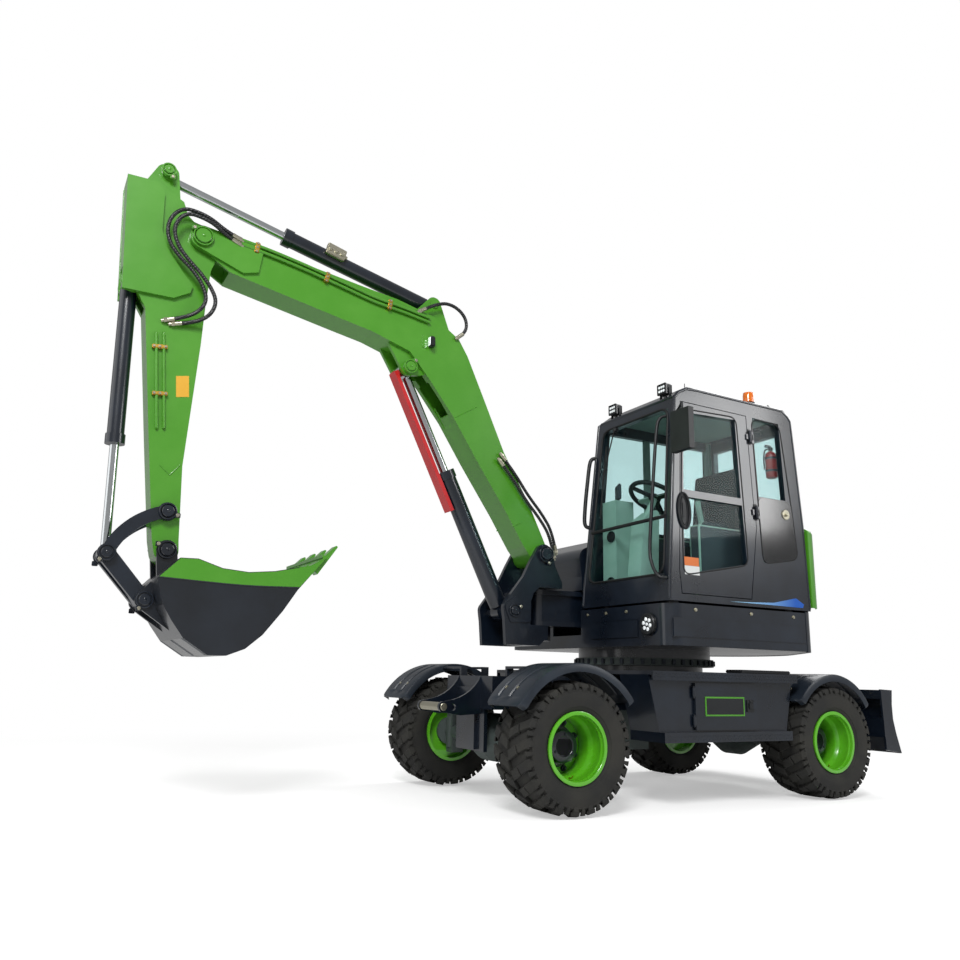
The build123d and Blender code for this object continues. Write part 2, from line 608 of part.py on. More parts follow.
# Cylinders
def barrel_solid(base, eye, length, radius, rod_radius, half, eye_radius, y, pin_radius):
    """Barrel in the XZ plane: cross tube at its base, tube towards the eye, open bore with a gland."""
    start = point_on(base, eye, eye_radius - 8)
    end = point_on(base, eye, length)
    tube = bar((start[0], y, start[1]), (end[0], y, end[1]), radius)
    gland = point_on(base, eye, length - 60)
    tube += bar((gland[0], y, gland[1]), (end[0], y, end[1]), radius + 8)
    bore_start = point_on(base, eye, eye_radius + 40)
    bore_end = point_on(base, eye, length - 50)
    tube -= bar((bore_start[0], y, bore_start[1]), (bore_end[0], y, bore_end[1]), radius - BARREL_WALL)
    past = point_on(base, eye, length + 5)
    tube -= bar((bore_end[0], y, bore_end[1]), (past[0], y, past[1]), rod_radius + PIN_CLEARANCE)
    cross = pin_y(base[0], base[1], y - half, y + half, eye_radius)
    hole = pin_y(base[0], base[1], y - half - 1, y + half + 1, pin_radius + PIN_CLEARANCE)
    return tube + cross - hole


def rod_solid(base, eye, start, rod_radius, half, eye_radius, y):
    a = point_on(base, eye, start)
    b = point_on(eye, base, eye_radius - 6)
    shaft = bar((a[0], y, a[1]), (b[0], y, b[1]), rod_radius)
    return shaft + pin_y(eye[0], eye[1], y - half, y + half, eye_radius)


CYLINDERS = {
    # name: base, eye, barrel length, rod start, barrel radius, rod radius, eye half width, eye radius, y, pin
    "boom": (BOOM_CYLINDER_BASE, BOOM_CYLINDER_EYE, 1115, 790, 66, 32, 52, 60, BOOM_Y, PIN_RADIUS),
    "arm": (ARM_CYLINDER_BASE, ARM_CYLINDER_EYE, 1181, 850, 56, 30, 48, 54, BOOM_Y, PIN_RADIUS),
    "bucket": (BUCKET_CYLINDER_BASE, ROCKER_END, 1037, 760, 50, 27, 40, 46, BOOM_Y, PIN_RADIUS),
    "blade": (BLADE_CYLINDER_BASE, BLADE_CYLINDER_EYE, 296, 115, 40, 22, 38, 38, 0.0, 25.0),
}


def barrel(name):
    base, eye, length, start, radius, rod_radius, half, eye_radius, y, pin_radius = CYLINDERS[name]
    return barrel_solid(base, eye, length, radius, rod_radius, half, eye_radius, y, pin_radius)


def rod(name):
    base, eye, length, start, radius, rod_radius, half, eye_radius, y, pin_radius = CYLINDERS[name]
    return rod_solid(base, eye, start, rod_radius, half, eye_radius, y)


def rod_guard():
    """Flat guard below the boom cylinder's rod, held at the rod's eye."""
    base, eye = BOOM_CYLINDER_BASE, BOOM_CYLINDER_EYE
    length = hypot(eye[0] - base[0], eye[1] - base[1])
    along = ((eye[0] - base[0]) / length, (eye[1] - base[1]) / length)

    def at(t, below):
        return (base[0] + along[0] * t + along[1] * below, base[1] + along[1] * t - along[0] * below)

    def strip(t0, t1, b0, b1, half):
        return plate_y([at(t0, b1), at(t1, b1), at(t1, b0), at(t0, b0)], BOOM_Y - half, BOOM_Y + half)

    start, end = GUARD_REACH
    body = strip(start, end, 92, 98, GUARD_HALF)
    for side in (1, -1):
        y0 = BOOM_Y + side * GUARD_HALF
        y1 = y0 - side * 6
        body += plate_y([at(start, 98), at(end, 98), at(end, 70), at(start, 70)], min(y0, y1), max(y0, y1))
    return body + strip(length - 18, length + 18, CYLINDERS["boom"][7] + SEAT_GAP, 98, 40)


# Upper frame
def upper_outline(inset):
    """Plan outline of the upper structure, counterclockwise, as belt circles (x, y, radius)."""
    side = UPPER_HALF_WIDTH - inset
    tail = TAIL_RADIUS - inset
    front = UPPER_FRONT - inset
    corner = 110
    return [(front - corner, -side + corner, corner), (front - corner, side - corner, corner),
            (SIDE_REAR, side - corner, corner), (SLEW_X - tail + 760, 0.0, 760.0),
            (SIDE_REAR, -side + corner, corner)]


def upper_slab(inset, z0, z1):
    return plate_z(upper_outline(inset), z0, z1)


def upper_frame():
    plate = upper_slab(SKIRT_WALL, UPPER_BOTTOM, UPPER_BOTTOM + UPPER_PLATE)
    height = UPPER_BOTTOM - RING_SPLIT - RING_GAP
    ring = Pos(SLEW_X, 0, UPPER_BOTTOM - height / 2) * Cylinder(RING_RADIUS - 24, height)
    spigot = Pos(SLEW_X, 0, RING_SPLIT - 10) * Cylinder(RING_BORE - PIN_CLEARANCE, 60)
    body = plate + ring + spigot
    for x, y in ((280, 180), (280, 880), (-820, 180), (-820, 880)):
        foot = CAB_FLOOR - UPPER_BOTTOM - UPPER_PLATE
        body += Pos(x, y, CAB_FLOOR - foot / 2) * Cylinder(46, foot)
    half = NOSE_HALF_AT_FRAME
    root = 120.0
    tip = (KING_X, BOOM_Y, NOSE_BOSS_RADIUS)
    plan = [(root, BOOM_Y - half), tip, (root, BOOM_Y + half)]
    for z0, z1 in ((NOSE_BOTTOM, NOSE_BOTTOM + NOSE_FLANGE), (NOSE_TOP - NOSE_FLANGE, NOSE_TOP)):
        body += plate_z(plan, z0, z1)
    web = [(root, BOOM_Y - half + 40), (KING_X, BOOM_Y, NOSE_BOSS_RADIUS - 18), (root, BOOM_Y + half - 40)]
    body += plate_z(web, NOSE_BOTTOM, NOSE_TOP)
    body += block(root - 40, root, BOOM_Y - half - 30, CAB_RIGHT - 8, UPPER_BOTTOM, NOSE_TOP)
    body -= Pos(KING_X, BOOM_Y, NOSE_BOTTOM) * Cylinder(KING_PIN_RADIUS + PIN_CLEARANCE, 2000)
    return body


def nose_opening():
    """Slot in the front skirt where the nose passes through."""
    return block(200, UPPER_FRONT + 50, BOOM_Y - NOSE_HALF_AT_FRAME - 10, BOOM_Y + NOSE_HALF_AT_FRAME + 10,
                 NOSE_BOTTOM - 60, 3000)


def skirts():
    z0, z1 = UPPER_BOTTOM + 2, SKIRT_TOP
    shell = upper_slab(0, z0, z1) - upper_slab(SKIRT_WALL, z0 - 1, z1 + 1)
    shell -= block(SIDE_REAR - 2000, SIDE_REAR + 2, -1500, 1500, 900, 1500)
    return shell - nose_opening()


def counterweight():
    z0, z1 = UPPER_BOTTOM + UPPER_PLATE, 1344
    slab = upper_slab(0, UPPER_BOTTOM - 4, z1)
    slab -= block(SIDE_REAR - 4, 2000, -1500, 1500, 0, 3000)
    slab -= upper_slab(SKIRT_WALL, 0, z0)
    slab -= block(-960, 0, CAB_RIGHT - 10, 1200, CAB_FLOOR - 8, 2000)
    wall = upper_slab(24, z1, 1900) & block(LID_FRONT + 6, LID_FRONT + 16, -1500, 1500, 1000, 2000)
    x, z = LID_HINGE
    lug = plate_y([(x, z, 14), (LID_FRONT + 7, 1780), (LID_FRONT + 7, 1896)], 380, 418)
    return slab + wall + twice(lug + pin_y(x, z, 380, 458, 11))


def side_hood():
    """Cover right of the cab, its front sloping down to the nose."""
    outline = [(UPPER_FRONT - 20, SKIRT_TOP), (UPPER_FRONT - 20, 1560), (330, 1700, 90), (100, 1800, 90),
               (HOOD_SPLIT + 8, 1880), (HOOD_SPLIT + 8, SKIRT_TOP)]
    ordered = [outline[5], outline[0], outline[1], outline[2], outline[3], outline[4]]
    solid = plate_y(ordered, -UPPER_HALF_WIDTH + 10, CAB_RIGHT - 24)
    inner = [(HOOD_SPLIT + 26, SKIRT_TOP - 10), (UPPER_FRONT - 40, SKIRT_TOP - 10), (UPPER_FRONT - 40, 1550),
             (320, 1686, 80), (90, 1780, 80), (HOOD_SPLIT + 26, 1862)]
    solid -= plate_y(inner, -UPPER_HALF_WIDTH + 28, CAB_RIGHT - 42)
    solid -= block(60, 600, BOOM_Y - NOSE_HALF_AT_FRAME - 42, 200, 1200, NOSE_TOP + 10)
    return solid - block(HOOD_SPLIT - 10, SIDE_REAR + 6, -1500, 1500, 1200, 1350)


def rear_hood():
    top = 1965
    x1 = LID_FRONT
    slab = upper_slab(16, 1352, top) - block(x1, 3000, -1500, 1500, 0, 3000)
    slab -= upper_slab(34, 1300, top - 18)
    x, z = LID_HINGE
    ear = plate_y([(x, z, 20), (x + 20, top - 18), (x - 40, top - 18)], 424, 450)
    ear += block(x - 40, x + 20, 424, 450, top - 20, top - 10)
    ear -= pin_y(x, z, 400, 500, 11 + PIN_CLEARANCE)
    return slab + twice(ear)


def power_pack():
    return block(-860, 60, -900, -80, UPPER_BOTTOM + UPPER_PLATE, 1690)


# Cab
CAB_SIDE = [(-943, CAB_FLOOR), (410, CAB_FLOOR), (400, CAB_FLOOR + 149), (262, CAB_ROOF - 92), (140, CAB_ROOF),
            (-850, CAB_ROOF), (-926, CAB_ROOF - 72), (-952, CAB_WAIST - 85)]


def cab_volume(inset):
    face = make_face(Polyline(*[(x, 0, z) for x, z in CAB_SIDE], close=True))
    if inset:
        face = offset(face, amount=-inset, kind=Kind.INTERSECTION)
    side = Pos(0, 2000, 0) * extrude(face, amount=4000, dir=(0, -1, 0))
    y0, y1 = CAB_RIGHT + inset, CAB_LEFT - inset
    ends = [(y0, CAB_FLOOR + inset), (y1, CAB_FLOOR + inset), (y1 - CAB_TAPER, CAB_ROOF - inset),
            (y0 + CAB_TAPER * 0.4, CAB_ROOF - inset)]
    return side & plate_x(ends, -3000, 3000)


DOOR_SILL = CAB_FLOOR + CAB_WALL + 8
DOOR = [(-344, DOOR_SILL), (296, DOOR_SILL), (306, CAB_FLOOR + 204), (205, CAB_ROOF - 124), (-436, CAB_ROOF - 124),
        (-440, CAB_WAIST + 80), (-452, CAB_WAIST - 140)]
DOOR_WINDOWS = [
    [(-318, CAB_WAIST + 52), (228, CAB_WAIST + 52), (186, CAB_ROOF - 198), (-320, CAB_ROOF - 172)],
    [(-330, CAB_FLOOR + 296), (262, CAB_FLOOR + 184), (238, CAB_WAIST), (-324, CAB_WAIST)],
]
REAR_SIDE_WINDOWS = [
    [(-784, CAB_WAIST + 90), (-505, CAB_WAIST + 90), (-505, CAB_ROOF - 122), (-784, CAB_ROOF - 126)],
    [(-850, CAB_FLOOR + 384), (-500, CAB_FLOOR + 324), (-500, CAB_WAIST + 38), (-820, CAB_WAIST + 38)],
]
WINDSHIELD = [(100, CAB_FLOOR + 184), (930, CAB_FLOOR + 184), (880, CAB_ROOF - 172), (136, CAB_ROOF - 172)]
RIGHT_WINDOW = [(-850, CAB_WAIST - 80), (250, CAB_WAIST - 140), (180, CAB_ROOF - 162), (-850, CAB_ROOF - 142)]
REAR_WINDOW = [(150, CAB_WAIST - 20), (880, CAB_WAIST - 20), (850, CAB_ROOF - 172), (160, CAB_ROOF - 172)]


def left_prism(outline, grow=0.0):
    """Prism through the cab's left wall over an X, Z outline."""
    face = make_face(Polyline(*[(x, 0, z) for x, z in outline], close=True))
    if grow:
        face = offset(face, amount=grow, kind=Kind.INTERSECTION)
    return Pos(0, 800, 0) * extrude(face, amount=600, dir=(0, 1, 0))


def right_prism(outline, grow=0.0):
    face = make_face(Polyline(*[(x, 0, z) for x, z in outline], close=True))
    if grow:
        face = offset(face, amount=grow, kind=Kind.INTERSECTION)
    return Pos(0, 300, 0) * extrude(face, amount=600, dir=(0, -1, 0))


def end_prism(outline, x0, x1, grow=0.0):
    face = make_face(Polyline(*[(x0, y, z) for y, z in outline], close=True))
    if grow:
        face = offset(face, amount=grow, kind=Kind.INTERSECTION)
    return extrude(face, amount=abs(x1 - x0), dir=(1 if x1 > x0 else -1, 0, 0))


def front_prism(grow=0.0):
    return end_prism(WINDSHIELD, 60, 900, grow)


def rear_prism(grow=0.0):
    return end_prism(REAR_WINDOW, -800, -1200, grow)


def cab_shell():
    return cab_volume(0) - cab_volume(CAB_WALL)


def hinge_planes():
    """Planes of the door hinges: X forwards, Y outwards, Z up along the leaning wall."""
    planes = []
    for drop in DOOR_HINGE_DROPS:
        height = CAB_ROOF - drop
        wall = CAB_LEFT - CAB_LEAN * (height - CAB_FLOOR)
        planes.append(Plane(origin=(DOOR_HINGE_X, wall + DOOR_HINGE_STANDOFF, height), x_dir=(1, 0, 0),
                            z_dir=(0, -CAB_LEAN, 1)))
    return planes


def hinge_leaf(side, z0, z1):
    """Knuckle with its leaf on the wall, ahead of the pin for side 1 and behind it for side -1."""
    knuckle_body = Pos(0, 0, (z0 + z1) / 2) * Cylinder(2 * DOOR_HINGE_RADIUS, z1 - z0)
    strap = block(4, 36, -DOOR_HINGE_STANDOFF + 1, -4, z0, z1) + block(24, 36, -DOOR_HINGE_STANDOFF - 3, -4, z0, z1)
    return knuckle_body + (strap if side > 0 else mirror(strap, about=Plane.YZ))


def cab_frame():
    body = cab_shell() - left_prism(DOOR, DOOR_GAP)
    for outline in REAR_SIDE_WINDOWS:
        body -= left_prism(outline)
    body = body - front_prism() - rear_prism() - right_prism(RIGHT_WINDOW)
    for plane in hinge_planes():
        body += plane * (hinge_leaf(-1, 22, 46) + hinge_leaf(-1, -46, -22) + Cylinder(DOOR_HINGE_RADIUS, 96))
    return body


def glass_sheet():
    return cab_volume(GLASS_INSET) - cab_volume(GLASS_INSET + GLASS_THICKNESS)


def cab_glass():
    sheet = glass_sheet()
    panes = [sheet & left_prism(outline, -0.3) for outline in REAR_SIDE_WINDOWS]
    panes += [sheet & front_prism(-0.3), sheet & rear_prism(-0.3), sheet & right_prism(RIGHT_WINDOW, -0.3)]
    return Compound([solid for pane in panes for solid in pane.solids()])


def cab_door():
    body = cab_shell() & left_prism(DOOR)
    for outline in DOOR_WINDOWS:
        body -= left_prism(outline)
    bore = Cylinder(DOOR_HINGE_RADIUS + PIN_CLEARANCE, 100)
    for plane in hinge_planes():
        body += plane * (hinge_leaf(1, -20, 20) - bore)
    return body


def door_glass():
    sheet = glass_sheet()
    panes = [sheet & left_prism(outline, -0.3) for outline in DOOR_WINDOWS]
    return Compound([solid for pane in panes for solid in pane.solids()])


SEAT_X = -330.0
SEAT_Y = 520.0


def seat():
    x, y = SEAT_X, SEAT_Y
    floor = CAB_FLOOR + CAB_WALL
    base = block(x - 220, x + 220, y - 180, y + 180, floor, floor + 260)
    cushion = block(x - 250, x + 260, y - 240, y + 240, floor + 260, floor + 390)
    back = plate_y([(x - 250, floor + 350), (x - 120, floor + 350), (x - 230, floor + 1010, 30), (x - 320, floor + 1000, 30)],
                   y - 225, y + 225)
    return base + cushion + back


def controls():
    floor = CAB_FLOOR + CAB_WALL
    pods = [block(SEAT_X - 150, SEAT_X + 330, SEAT_Y + s * 300 - 46, SEAT_Y + s * 300 + 46, floor, floor + 520)
            for s in (1, -1)]
    column = plate_y([(150, floor), (330, floor), (235, floor + 560, 30), (150, floor + 620, 30)],
                     SEAT_Y - 70, SEAT_Y + 70)
    hub = bar((185, SEAT_Y, floor + 600), (95, SEAT_Y, floor + 760), 24)
    wheel = Plane(origin=(95, SEAT_Y, floor + 760), z_dir=(-0.49, 0, 0.87)) * Torus(190, 15)
    spoke = Plane(origin=(95, SEAT_Y, floor + 760), z_dir=(-0.49, 0, 0.87)) * Box(40, 372, 14)
    side_console = block(120, 290, 140, 300, floor, floor + 760)
    levers = [bar((SEAT_X + 250, SEAT_Y + s * 300, floor + 500), (SEAT_X + 290, SEAT_Y + s * 300, floor + 700), 20)
              for s in (1, -1)]
    front = column + hub + wheel + spoke
    return Compound([front, side_console] + [pod + lever for pod, lever in zip(pods, levers)])


def lamps():
    items = []
    for y in ROOF_LAMP_Y:
        foot = Pos(236, y, CAB_ROOF - 67) * Cylinder(12, 70)
        head = block(222, 274, y - 40, y + 40, CAB_ROOF - 46, CAB_ROOF + 26)
        items.append(foot + head)
    items.append(bar((UPPER_FRONT + 0.5, 800, 1165), (UPPER_FRONT + 22, 800, 1165), 62))
    return Compound([solid for item in items for solid in (item - cab_volume(0)).solids()])


def beacon():
    x, y = BEACON
    base = Pos(x, y, CAB_ROOF + 10) * Cylinder(46, 20)
    return base + Pos(x, y, CAB_ROOF + 62) * Cylinder(38, 84)


def mirrors():
    top = CAB_ROOF - 202
    y = CAB_LEFT + 100
    arm = bar((250, CAB_LEFT - 75, top - 30), (340, y, top), 9) + bar((340, y, top), (340, y, top - 240), 9)
    arm += bar((250, CAB_LEFT - 75, top - 100), (340, y, top - 90), 9)
    head = block(322, 368, y - 90, y + 90, top - 340, top - 50)
    return arm + head - cab_volume(0)


# Swing post, boom, arm
POST_REAR_CURVE = [(592, NOSE_TOP + HINGE_GAP), (794, NOSE_TOP + HINGE_GAP), (846, 1402), (868, 1340),
                   (876, 1240), (870, NOSE_BOTTOM - HINGE_GAP)]
POST_INNER_CURVE = [(896, NOSE_BOTTOM - HINGE_GAP), (906, 1240), (902, 1350), (880, 1426), (826, 1476),
                    (740, POST_TOP_ARM - 34), (592, POST_TOP_ARM - 34)]


def swing_post():
    outline = [(724, POST_FOOT + 62), (796, POST_FOOT), (1076, POST_FOOT), (1090, 1200), (BOOM_CYLINDER_BASE[0] + 28,
               BOOM_CYLINDER_BASE[1] + 16, 62), (1040, 1386), (934, 1519), (872, 1640),
               (BOOM_FOOT[0] + 10, BOOM_FOOT[1], 74), (655, 1615), (592, POST_TOP_ARM - 30)]
    outline += POST_REAR_CURVE + [(724, NOSE_BOTTOM - HINGE_GAP)]
    y0, y1 = BOOM_Y - POST_HALF, BOOM_Y + POST_HALF
    body = plate_y(outline, y0, y0 + POST_PLATE) + plate_y(outline, y1 - POST_PLATE, y1)
    body += plate_y(POST_REAR_CURVE + POST_INNER_CURVE, y0, y1)
    low = [(724, POST_FOOT + 62), (796, POST_FOOT), (906, POST_FOOT), (896, NOSE_BOTTOM - HINGE_GAP),
           (724, NOSE_BOTTOM - HINGE_GAP)]
    body += plate_y(low, y0, y1)
    body += plate_z([(720, y0), (800, y0), (800, y1), (720, y1), (KING_X, BOOM_Y, 100)], POST_FOOT + 40,
                    NOSE_BOTTOM - HINGE_GAP)
    height = POST_TOP_ARM - 14 - POST_FOOT - 40
    body += Pos(KING_X, BOOM_Y, POST_FOOT + 40 + height / 2) * Cylinder(KING_PIN_RADIUS, height)
    body += Pos(KING_X, BOOM_Y, POST_TOP_ARM - 24) * Cylinder(74, 20)
    body += pin_y(*BOOM_FOOT, y0 - 14, y1 + 14, PIN_RADIUS + 8)
    for y in (y0 - 6, y1):
        body += pin_y(*BOOM_FOOT, y, y + 6, 66)
    body += pin_y(*BOOM_CYLINDER_BASE, y0 - 10, y1 + 10, PIN_RADIUS)
    for y in (y0 - 8, y1):
        x, z = BOOM_CYLINDER_BASE
        body += plate_y([(x - 120, z - 60, 20), (x + 20, z - 66, 20), (x + 32, z + 20, 44), (x - 20, z + 70, 30),
                         (x - 120, z + 60, 20)], y, y + 8)
    return body


BOOM_OUTLINE = [
    (BOOM_FOOT[0], BOOM_FOOT[1], 78.0), (889, 1750), (1051, 1995), (1316, 2364), (1518, 2662), (1716, 2903),
    (1885, 3092), (2179, 3177), (2429, 3220), (3200, 3360), (3330, 3440), (3330, 3620), (3193, 3622), (2296, 3505),
    (2000, 3470), (1690, 3400), (1487, 3270), (1409, 3150), (1259, 2837), (1076, 2449), (849, 2080),
]


def eye_relief():
    """Room in the boom's underside for the rod's eye and the barrel's end where they drift from the pin."""
    eye_radius = CYLINDERS["boom"][7] + RELIEF_CLEARANCE
    gland_radius = CYLINDERS["boom"][4] + 8 + RELIEF_CLEARANCE
    half = CYLINDERS["boom"][6] + RELIEF_CLEARANCE
    room = plate_y([(*BOOM_CYLINDER_EYE, eye_radius), (*EYE_DRIFT_HIGH, eye_radius), (*ROD_ENTRY, eye_radius)],
                   BOOM_Y - half, BOOM_Y + half)
    end, back = GLAND_DRIFT
    return room + plate_y([(*end, gland_radius * 0.3), (*back, gland_radius)], BOOM_Y - gland_radius,
                          BOOM_Y + gland_radius)


def boom():
    box = plate_y(BOOM_OUTLINE, BOOM_Y - BOOM_HALF, BOOM_Y + BOOM_HALF)
    hollow = offset(make_face(belt_edges([(c + (0.0,))[:3] for c in BOOM_OUTLINE[1:]],
                                         lambda a, b: (a, BOOM_Y, b))), amount=-BOOM_WALL, kind=Kind.INTERSECTION)
    half = BOOM_HALF - BOOM_WALL
    box -= Pos(0, -half, 0) * extrude(hollow, amount=2 * half, dir=(0, 1, 0))
    foot_half = POST_HALF - POST_PLATE - 4
    box += pin_y(*BOOM_FOOT, BOOM_Y - foot_half, BOOM_Y + foot_half, 76)
    box -= pin_y(*BOOM_FOOT, BOOM_Y - 400, BOOM_Y + 400, PIN_RADIUS + 8 + PIN_CLEARANCE)
    x, z = BOOM_HEAD
    gap = ARM_HALF + SIDE_CLEARANCE
    for s in (1, -1):
        y_in, y_out = BOOM_Y + s * gap, BOOM_Y + s * (gap + 38)
        ear = plate_y([(x - 377, z - 152), (x - 277, z - 182), (x, z, 80), (x - 287, z + 48), (x - 397, z + 8)],
                      min(y_in, y_out), max(y_in, y_out))
        box += ear
    box -= block(BOOM_END, x + 203, BOOM_Y - gap, BOOM_Y + gap, z - 252, z + 248)
    box += block(BOOM_END - 20, BOOM_END, BOOM_Y - gap, BOOM_Y + gap, z - 186, z + 60)
    box += pin_y(x, z, BOOM_Y - gap - 52, BOOM_Y + gap + 52, PIN_RADIUS + 4)
    box -= eye_relief()
    bx, bz = ARM_CYLINDER_BASE
    ex, ez = BOOM_CYLINDER_EYE
    for s in (1, -1):
        y_in = BOOM_Y + s * 62
        y_out = BOOM_Y + s * 88
        box += plate_y([(bx - 150, bz - 230), (bx + 170, bz - 110), (bx, bz, 56)], min(y_in, y_out), max(y_in, y_out))
        y_in = BOOM_Y + s * 60
        y_out = BOOM_Y + s * 90
        lug = plate_y([(ex - 130, ez - 30), (ex, ez, 58), (ex + 200, ez + 210), (ex - 20, ez + 160)],
                      min(y_in, y_out), max(y_in, y_out))
        box += lug
        box += pin_y(ex, ez, BOOM_Y + s * 60, BOOM_Y + s * 128, 44)
    box += pin_y(bx, bz, BOOM_Y - 96, BOOM_Y + 96, PIN_RADIUS)
    return box


ARM_OUTLINE = [
    (BUCKET_PIN[0], BUCKET_PIN[1], 72.0), (3500, 1560), (3588, 2216), (3689, 3000), (3770, 3130), (3842, 3200),
    (3886, 3870), (3700, 3880), (3531, 3784), (3500, 3700), (3457, 3664), (3302, 3632), (3272, 3500), (3320, 3350),
    (3331, 3089), (3335, 2832), (3369, 2021), (3345, 1560),
]


def arm():
    box = plate_y(ARM_OUTLINE, BOOM_Y - ARM_HALF, BOOM_Y + ARM_HALF)
    hollow = offset(make_face(belt_edges([(c + (0.0,))[:3] for c in ARM_OUTLINE[1:]],
                                         lambda a, b: (a, BOOM_Y, b))), amount=-ARM_WALL, kind=Kind.INTERSECTION)
    half = ARM_HALF - ARM_WALL
    box -= Pos(0, -half, 0) * extrude(hollow, amount=2 * half, dir=(0, 1, 0))
    x, z = BOOM_HEAD
    box += pin_y(x, z, BOOM_Y - ARM_HALF, BOOM_Y + ARM_HALF, 92)
    box -= pin_y(x, z, BOOM_Y - 400, BOOM_Y + 400, PIN_RADIUS + 4 + PIN_CLEARANCE)
    cheek = [(x + 136, z - 457), (x + 441, z - 463), (x + 491, z + 308), (x + 303, z + 314), (x + 259, z + 248),
             (x + 248, z - 19), (x + 203, z - 132), (x + 103, z - 262), (x + 28, z - 345), (x + 37, z - 396)]
    for s in (1, -1):
        y_in, y_out = BOOM_Y + s * (ARM_HALF - 2), BOOM_Y + s * ARM_WIDE_HALF
        box += plate_y(cheek, min(y_in, y_out), max(y_in, y_out))
    ex, ez = ARM_CYLINDER_EYE
    for s in (1, -1):
        y_in, y_out = BOOM_Y + s * 52, BOOM_Y + s * 80
        box += plate_y([(ex - 108, ez - 271), (ex + 132, ez - 111), (ex + 16, ez, 54), (ex - 16, ez, 54)],
                       min(y_in, y_out), max(y_in, y_out))
        box += pin_y(ex, ez, min(y_in, y_out), max(y_in, y_out) + (14 if s > 0 else 0), 40)
    box += arm_lower_bores()
    bx, bz = BUCKET_CYLINDER_BASE
    for s in (1, -1):
        y_in, y_out = BOOM_Y + s * 55, BOOM_Y + s * 80
        box += plate_y([(bx - 20, bz, 62), (bx, bz, 58), (bx + 52, bz + 140), (bx - 90, bz + 240), (bx - 90, bz - 50)],
                       min(y_in, y_out), max(y_in, y_out))
    box -= block(bx - 100, bx + 210, BOOM_Y - 55, BOOM_Y + 55, bz - 260, bz + 102)
    box += pin_y(bx, bz, BOOM_Y - 92, BOOM_Y + 92, PIN_RADIUS)
    for px, pz in (ROCKER_PIN, BUCKET_PIN):
        box -= pin_y(px, pz, BOOM_Y - 400, BOOM_Y + 400, PIN_RADIUS + PIN_CLEARANCE)
    return box


def arm_lower_bores():
    bosses = pin_y(*ROCKER_PIN, BOOM_Y - ARM_HALF, BOOM_Y + ARM_HALF, 52)
    return bosses + pin_y(*BUCKET_PIN, BOOM_Y - ARM_HALF, BOOM_Y + ARM_HALF, 60)


def rocker():
    """Two bowed side plates from the arm's pin to the cylinder's eye, with the pins in them."""
    x1, z1 = ROCKER_PIN
    x2, z2 = ROCKER_END
    cx, cz, radius = circle_through(ROCKER_PIN, ROCKER_BULGE, ROCKER_END)
    start, finish = atan2(z2 - cz, x2 - cx), atan2(z1 - cz, x1 - cx)
    middle = (start + finish) / 2
    body = None
    for s in (1, -1):
        y_a = min(BOOM_Y + s * (ARM_HALF + 5), BOOM_Y + s * (ARM_HALF + 31))

        def at(r, t):
            return (cx + r * cos(t), y_a, cz + r * sin(t))

        outer, inner = radius + ROCKER_BAND, radius - ROCKER_BAND
        edges = [ThreePointArc(at(outer, start), at(outer, middle), at(outer, finish)),
                 Line(at(outer, finish), at(inner, finish)),
                 ThreePointArc(at(inner, finish), at(inner, middle), at(inner, start)),
                 Line(at(inner, start), at(outer, start))]
        plate = extrude(make_face(edges), amount=26, dir=(0, 1, 0))
        plate += pin_y(x1, z1, y_a, y_a + 26, 56) + pin_y(x2, z2, y_a, y_a + 26, 52)
        body = plate if body is None else body + plate
        y_in, y_out = BOOM_Y + s * 46, BOOM_Y + s * (ARM_HALF + 44)
        body += pin_y(x2, z2, min(y_in, y_out), max(y_in, y_out), PIN_RADIUS)
    return body + pin_y(x1, z1, BOOM_Y - ARM_HALF - 44, BOOM_Y + ARM_HALF + 44, PIN_RADIUS)


def bucket_link():
    x2, z2 = ROCKER_END
    x3, z3 = BUCKET_LINK_PIN
    body = None
    for s in (1, -1):
        y_in, y_out = BOOM_Y + s * 46, BOOM_Y + s * (ARM_HALF - 1)
        plate = plate_y([(x2, z2, 48), (x3, z3, 46)], min(y_in, y_out), max(y_in, y_out))
        body = plate if body is None else body + plate
    middle = point_on(ROCKER_END, BUCKET_LINK_PIN, 230)
    body += plate_y([(middle[0], middle[1], 36), (x3, z3, 46)], BOOM_Y - 60, BOOM_Y + 60)
    return body - pin_y(x2, z2, BOOM_Y - 400, BOOM_Y + 400, PIN_RADIUS + PIN_CLEARANCE)


BUCKET_TOP = [(3484, 1300), (3371, 1422), (3271, 1425), (3129, 1381), (2976, 1370), (2822, 1388), (2600, 1440)]
BUCKET_LIP = (2500.0, 1500.0)
BUCKET_BACK = [(2672, 1285), (2755, 1153), (2866, 1007), (2962, 923), (3067, 881), (3174, 882), (3314, 971),
               (3389, 1070), (3441, 1153)]
TOOTH_TIP = (2436.0, 1572.0)


def bucket_outline():
    return [BUCKET_LIP] + BUCKET_BACK + BUCKET_TOP


def bucket_skin():
    """Thick outer strip of the bucket: the outline less the same outline moved in along its back."""
    outer = [BUCKET_LIP] + BUCKET_BACK + [BUCKET_TOP[0], BUCKET_TOP[1], (3200, 1430), (2560, 1530)]
    face = make_face(Polyline(*[(x, BOOM_Y - BUCKET_HALF, z) for x, z in outer], close=True))
    inner = offset(face, amount=-BUCKET_SHELL, kind=Kind.INTERSECTION)
    solid = extrude(face, amount=2 * BUCKET_HALF, dir=(0, 1, 0))
    hollow = extrude(inner, amount=2 * BUCKET_HALF, dir=(0, 1, 0))
    mouth = plate_y([(2530, 1478), (3340, 1395), (3390, 1440), (3300, 1600), (2540, 1700)],
                    BOOM_Y - BUCKET_HALF - 1, BOOM_Y + BUCKET_HALF + 1)
    return solid - hollow - mouth


